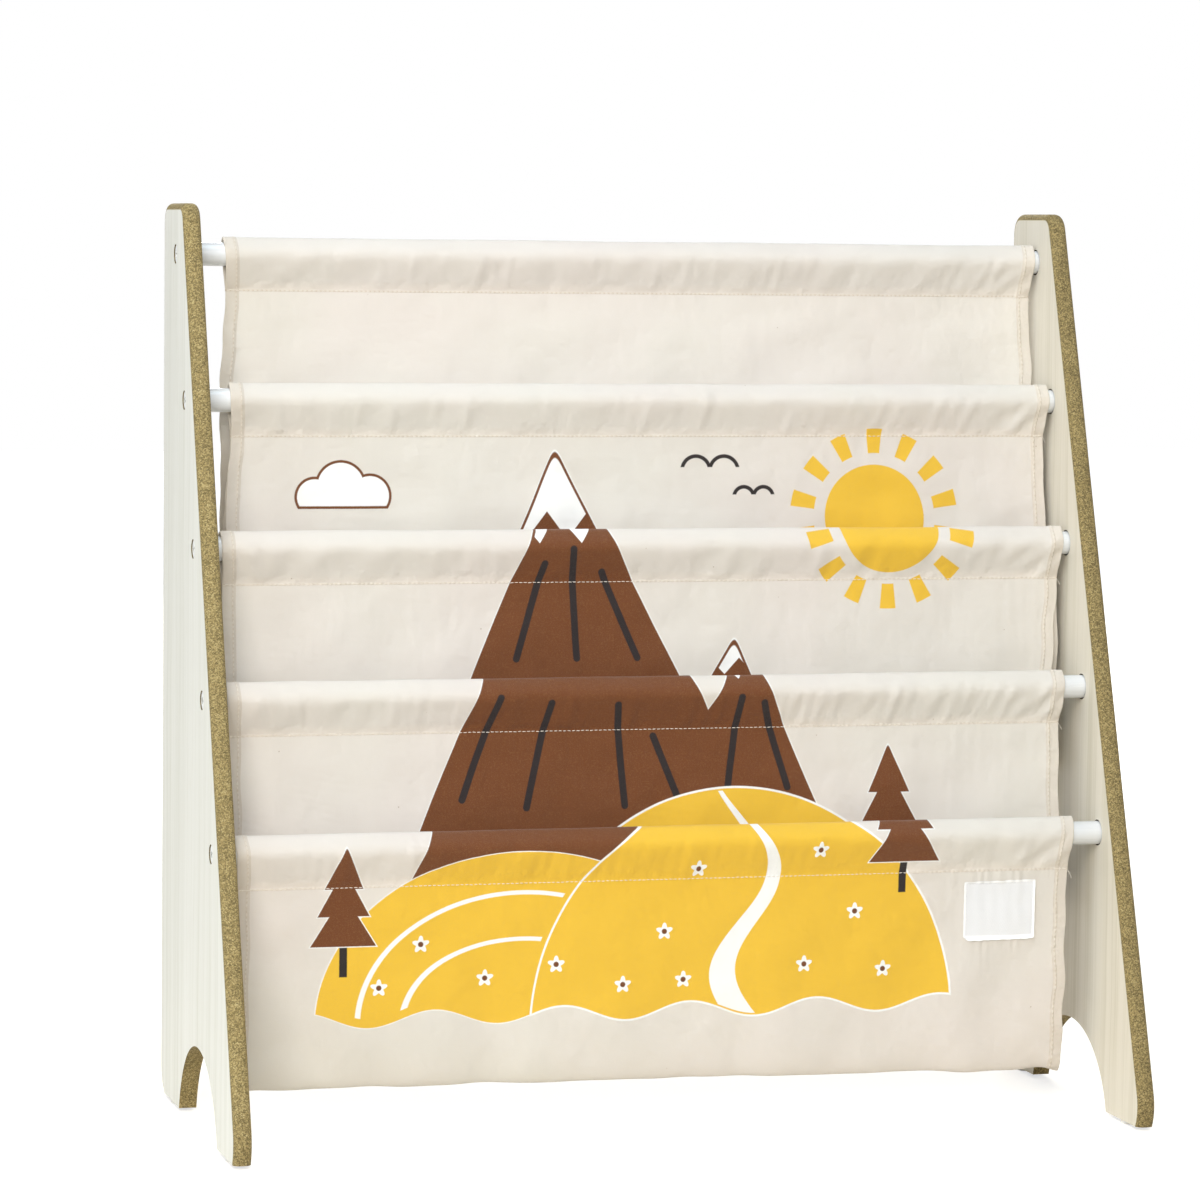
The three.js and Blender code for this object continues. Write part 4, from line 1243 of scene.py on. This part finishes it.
def make_label(flap, twill, thread):
    """A small sheet on the flap's outer face, a closed grid of four sides: its points lie a little proud
    of the canvas under them, and its edge wavers. Its own stitches run round it."""
    half_width, half_height = LABEL_HALF_WIDTH, LABEL_HALF_HEIGHT
    line = flap.line
    front = line.s > line.fold_s

    def on_flap(u, v, proud):
        """The flap's face at u and v from the label's middle, moved out by proud."""
        x, z = LABEL_MIDDLE_X + u, LABEL_MIDDLE_Z + v + LABEL_SLANT * u
        s = np.interp(z, line.points[front, 1], line.s[front])
        here, down, over, out = flap.frame(s, 0 * s, x - flap.ends(s)[0], 1, False)
        return here + out * np.asarray(proud)[..., None], over, down, out

    grid_v, grid_u = np.meshgrid(np.linspace(-1, 1, 50), np.linspace(-1, 1, 66), indexing="ij")
    corner = np.clip((np.abs(grid_u) + np.abs(grid_v) - 1.93) / 0.07, 0, 1)
    cut = np.clip((-grid_u - grid_v - 1.86) / 0.14, 0, 1)
    wave_u = 1 - 0.012 * corner + 0.005 * swell(grid_v * 3, 0 * grid_v, 81)
    wave_v = 1 - 0.014 * corner + 0.007 * swell(grid_u * 4, 0 * grid_u, 82)
    flat_u = grid_u * half_width * wave_u + cut * 0.0016
    flat_v = grid_v * half_height * wave_v + cut * 0.0014
    curl = 0.00035 * np.clip(np.maximum(np.abs(grid_u), np.abs(grid_v)) - 0.93, 0, 1) / 0.07
    rise = 0.00018 * (0.5 + 0.5 * swell(grid_u * 1.5, grid_v * 1.2, 83)) + curl
    sheets = [on_flap(flat_u, flat_v, LABEL_PROUD + rise + thick)[0] for thick in (LABEL_THICKNESS, 0.0)]
    rows, columns = grid_u.shape
    top = grid_faces(rows, columns)
    under = grid_faces(rows, columns)[:, ::-1] + rows * columns
    rim = np.concatenate([
        np.arange(columns), columns * np.arange(1, rows) + columns - 1,
        (rows - 1) * columns + np.arange(columns - 2, -1, -1), columns * np.arange(rows - 2, 0, -1)])
    after = np.roll(rim, -1)
    wall = np.stack([rim, rim + rows * columns, after + rows * columns, after], -1)
    points = np.concatenate([sheet.reshape(-1, 3) for sheet in sheets])
    label = mesh_piece("label", points, [np.concatenate([top, under, wall])], [twill], "label_cloth")
    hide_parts("sewn_label")
    map_flat(label, "cloth", vertex_places(label)[:, [0, 2]] - (LABEL_MIDDLE_X, LABEL_MIDDLE_Z))

    sewn = []
    for half_run, half_across, upright in ((half_width, half_height, False), (half_height, half_width, True)):
        run = np.arange(-half_run + LABEL_STITCH_IN, half_run - LABEL_STITCH_IN, LABEL_STITCH_PITCH)
        for edge in (half_across - LABEL_STITCH_IN, -half_across + LABEL_STITCH_IN):
            edge = np.full_like(run, edge)
            spots = (edge, run) if upright else (run, edge)
            here, over, down, out = on_flap(*spots, LABEL_PROUD + LABEL_THICKNESS + 0.00016)
            sewn.append((here, down, over, out) if upright else (here, over, down, out))
    stitches = stitch_mesh("label_stitches", sewn, 84, thread, length=0.0017, width=0.00016)


def make_sling(plain, printed, thread):
    """All of the sling: tunnels and pockets, with their stitches and thread ends. Gives the last pocket's
    cloth, to which the label is sewn."""
    tunnels = []
    for number, rail in enumerate(RAILS, 1):
        cloth = tunnel_cloth(number, rail)
        tunnels.append(cloth)
        print_end = cloth.line.length / 2 + PRINT_PAST_CREST

        def faces_front(s, side):
            return (side > -0.5) & (s < print_end)

        piece = make_cloth(
            f"tunnel_canvas_{number}", cloth, section_columns(rail.right_x - rail.left_x, TUNNEL_COLUMN),
            TUNNEL_ROW, faces_front, [printed if number > 1 else plain])
        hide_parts(f"sling_tunnel_{number}")
        row = SEAM_BELOW - STITCH_LINE_BELOW
        frames = [
            *seam_frames(cloth, row), *seam_frames(cloth, cloth.line.length - row),
            *hem_frames(cloth, 0.003, cloth.line.length - 0.002, 1)]
        stitches = stitch_mesh(f"tunnel_stitches_{number}", frames, 100 + number, thread)

    for number, (back_rail, front_rail) in enumerate(zip(RAILS, RAILS[1:]), 1):
        is_flap = number == 4
        cloth = pocket_cloth(number, back_rail, front_rail, is_flap)
        line = cloth.line
        width = max(back_rail.right_x, front_rail.right_x) - min(back_rail.left_x, front_rail.left_x)
        crowded = None
        if is_flap:
            share = (LABEL_MIDDLE_X - front_rail.left_x) / (front_rail.right_x - front_rail.left_x)
            crowded = (share, 0.056)

        def takes_print(s, side):
            shown = (side < 0.5) & (s < PRINT_BLEED)
            return shown | ((side > -0.5) & (s > line.fold_s)) if is_flap else shown

        piece = make_cloth(
            f"pocket_canvas_{number}", cloth, section_columns(width, POCKET_COLUMN, crowded), POCKET_ROW,
            takes_print, [printed if number > 1 else plain], far_seam=1.0)
        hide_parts(f"sling_pocket_{number}")
        frames = [*hem_frames(cloth, 0.002, line.length - 0.002, 1), *hem_frames(cloth, 0.002, 0.1, -1)]
        stitches = stitch_mesh(f"pocket_stitches_{number}", frames, 110 + number, thread)
    make_thread_ends(tunnels, thread)
    return cloth


# Stage


FLOOR_REACH = 9.0
LAMP_AIM = np.array([0, 0, 0.3])
LAMPS = [
    # name, place, size, power, colour
    ("key", (-1.6, -3.3, 1.9), 2.3, 139, (1.0, 0.98, 0.955)),
    ("left", (-3.4, -1.5, 1.1), 1.8, 31, (0.78, 0.88, 1.0)),
    ("top", (-0.3, -0.7, 2.9), 1.6, 34, (0.72, 0.86, 1.0)),
    ("back", (0.9, 3.8, 1.7), 1.8, 115, (1.0, 1.0, 1.0)),
    ("right", (3.6, -0.3, 1.3), 1.6, 15, (0.9, 0.96, 1.0)),
]
CAMERA_PLACE = (-0.847278, -2.952064, 0.595677)
CAMERA_YAW, CAMERA_PITCH, CAMERA_ROLL = math.radians(15.30389), math.radians(-4.61857), math.radians(0.67780)
CAMERA_LENS = 137.525


def seen_directly(start):
    """1 for rays from the camera, off a glossy face or through a clear one, and 0 for those that light."""
    path = start.node("LightPath")
    seen = path.most(Wire(start.tree, path.socket.node.outputs["Is Glossy Ray"]))
    return seen.most(Wire(start.tree, path.socket.node.outputs["Is Transmission Ray"]))


def make_stage():
    """A wide pale floor that keeps the shelf's shadow, painted lighter within a metre of the shelf as a pool
    of light that bounces more light onto it, and a white surround for the camera's rays."""
    made, start, place = new_material("pale_floor")
    x, y = start.parts(place)[:2]
    near = (1.0 - (x * x + y * y) / 1.4).clamped()
    tone = start.noise(place, 3.0, 2.0)
    # Painted light: the floor's own colour is lighter near the shelf, a pool of light that brightens the
    # bounce onto the shelf's low parts.
    pale = near.blend(paint("b8b2a6"), paint("e2dbcc"))
    matt = start.node("BsdfDiffuse", {}, {"Color": (tone * 0.2).blend(pale, paint("d4cec4"))})
    far = ((x * x + y * y - 0.7) / 2.4).clamped()
    strength = seen_directly(start) * (far * 0.42 + 0.66)
    glow = start.node("Emission", {}, {"Color": (0.93, 0.955, 1.0, 1.0), "Strength": strength})
    finished(made, start, start.node("AddShader", {}, {0: matt, 1: glow}))
    run = np.linspace(-FLOOR_REACH, FLOOR_REACH, 7)
    grid_y, grid_x = np.meshgrid(run, run, indexing="ij")
    points = np.stack([grid_x, grid_y, 0 * grid_x], -1).reshape(-1, 3)
    floor = mesh_piece("floor", points, [grid_faces(7, 7)], [made], None, closed=False)

    bpy.context.scene.world, start = emptied(bpy.data.worlds.new("white_surround"))
    strength = seen_directly(start) * 0.76 + 0.24
    sky = start.node("Background", {}, {"Color": (1, 1, 1, 1), "Strength": strength})
    start.node("OutputWorld", {}, {0: sky})


def stand(name, data, right, up, back, place):
    """A lamp or camera in its place, looking away from back."""
    holder = bpy.data.objects.new(name, data)
    bpy.context.scene.collection.objects.link(holder)
    turned = np.eye(4)
    turned[:3] = np.stack([right, up, back, place], 1)
    holder.matrix_world = Matrix(turned.tolist())
    return holder


def area_lamp(name, place, size, power, colour):
    """A square lamp that faces the shelf's middle."""
    lamp = bpy.data.lights.new(name, "AREA")
    lamp.shape = "SQUARE"
    lamp.size, lamp.energy, lamp.color = size, power, colour
    back = unit(np.array(place) - LAMP_AIM)
    right = unit(np.cross((0, 0, 1), back))
    stand(name, lamp, right, np.cross(back, right), back, place)


def make_camera():
    """The photograph's pinhole: place, heading, pitch and roll fitted to the shelf's corners."""
    yaw, pitch, roll = CAMERA_YAW, CAMERA_PITCH, CAMERA_ROLL
    ahead = np.array([math.sin(yaw) * math.cos(pitch), math.cos(yaw) * math.cos(pitch), math.sin(pitch)])
    right = np.array([math.cos(yaw), -math.sin(yaw), 0.0])
    up = np.cross(right, ahead)
    camera = bpy.data.cameras.new("camera")
    camera.sensor_width = 36
    camera.lens = CAMERA_LENS
    rolled_right = right * math.cos(roll) + up * math.sin(roll)
    rolled_up = up * math.cos(roll) - right * math.sin(roll)
    bpy.context.scene.camera = stand("camera", camera, rolled_right, rolled_up, -ahead, CAMERA_PLACE)


make_camera()
board_materials = [
    foil_material(), fibreboard_material("fibreboard"), fibreboard_material("drilled_fibreboard", 0.45)]
powder_coat, screw_paint = powder_coat_material(), screw_material()
glide_plastic = plastic_material("glide_plastic", "dcdcd8", "f0f0ee", 0.35)
nylon = plastic_material("nylon", "e2e1da", "efeee8", 0.4)
thread = thread_material("cream_thread", "d9cdbb", "fbf6ee")
white_thread = thread_material("white_thread", "cfd3d8", "ffffff")
for name, sign in (("left", -1), ("right", 1)):
    make_board(name, sign, board_materials)
    for number, rail in enumerate(RAILS, 1):
        make_screw(name, sign, number, rail, screw_paint)
        for plug_slot in frame["nodes"][f"{name}_plug_{number}"].material_slots:
            plug_slot.material = nylon
    for end in ("front", "rear"):
        make_glide(f"{name}_{end}_glide", glide_plastic)
for number, rail in enumerate(RAILS, 1):
    make_rail(number, rail, powder_coat)
flap = make_sling(canvas_material("plain_canvas", False), canvas_material("printed_canvas", True), thread)
make_label(flap, label_material(), white_thread)

make_stage()
for lamp in LAMPS:
    area_lamp(*lamp)
bpy.context.scene.view_settings.view_transform = "Standard"
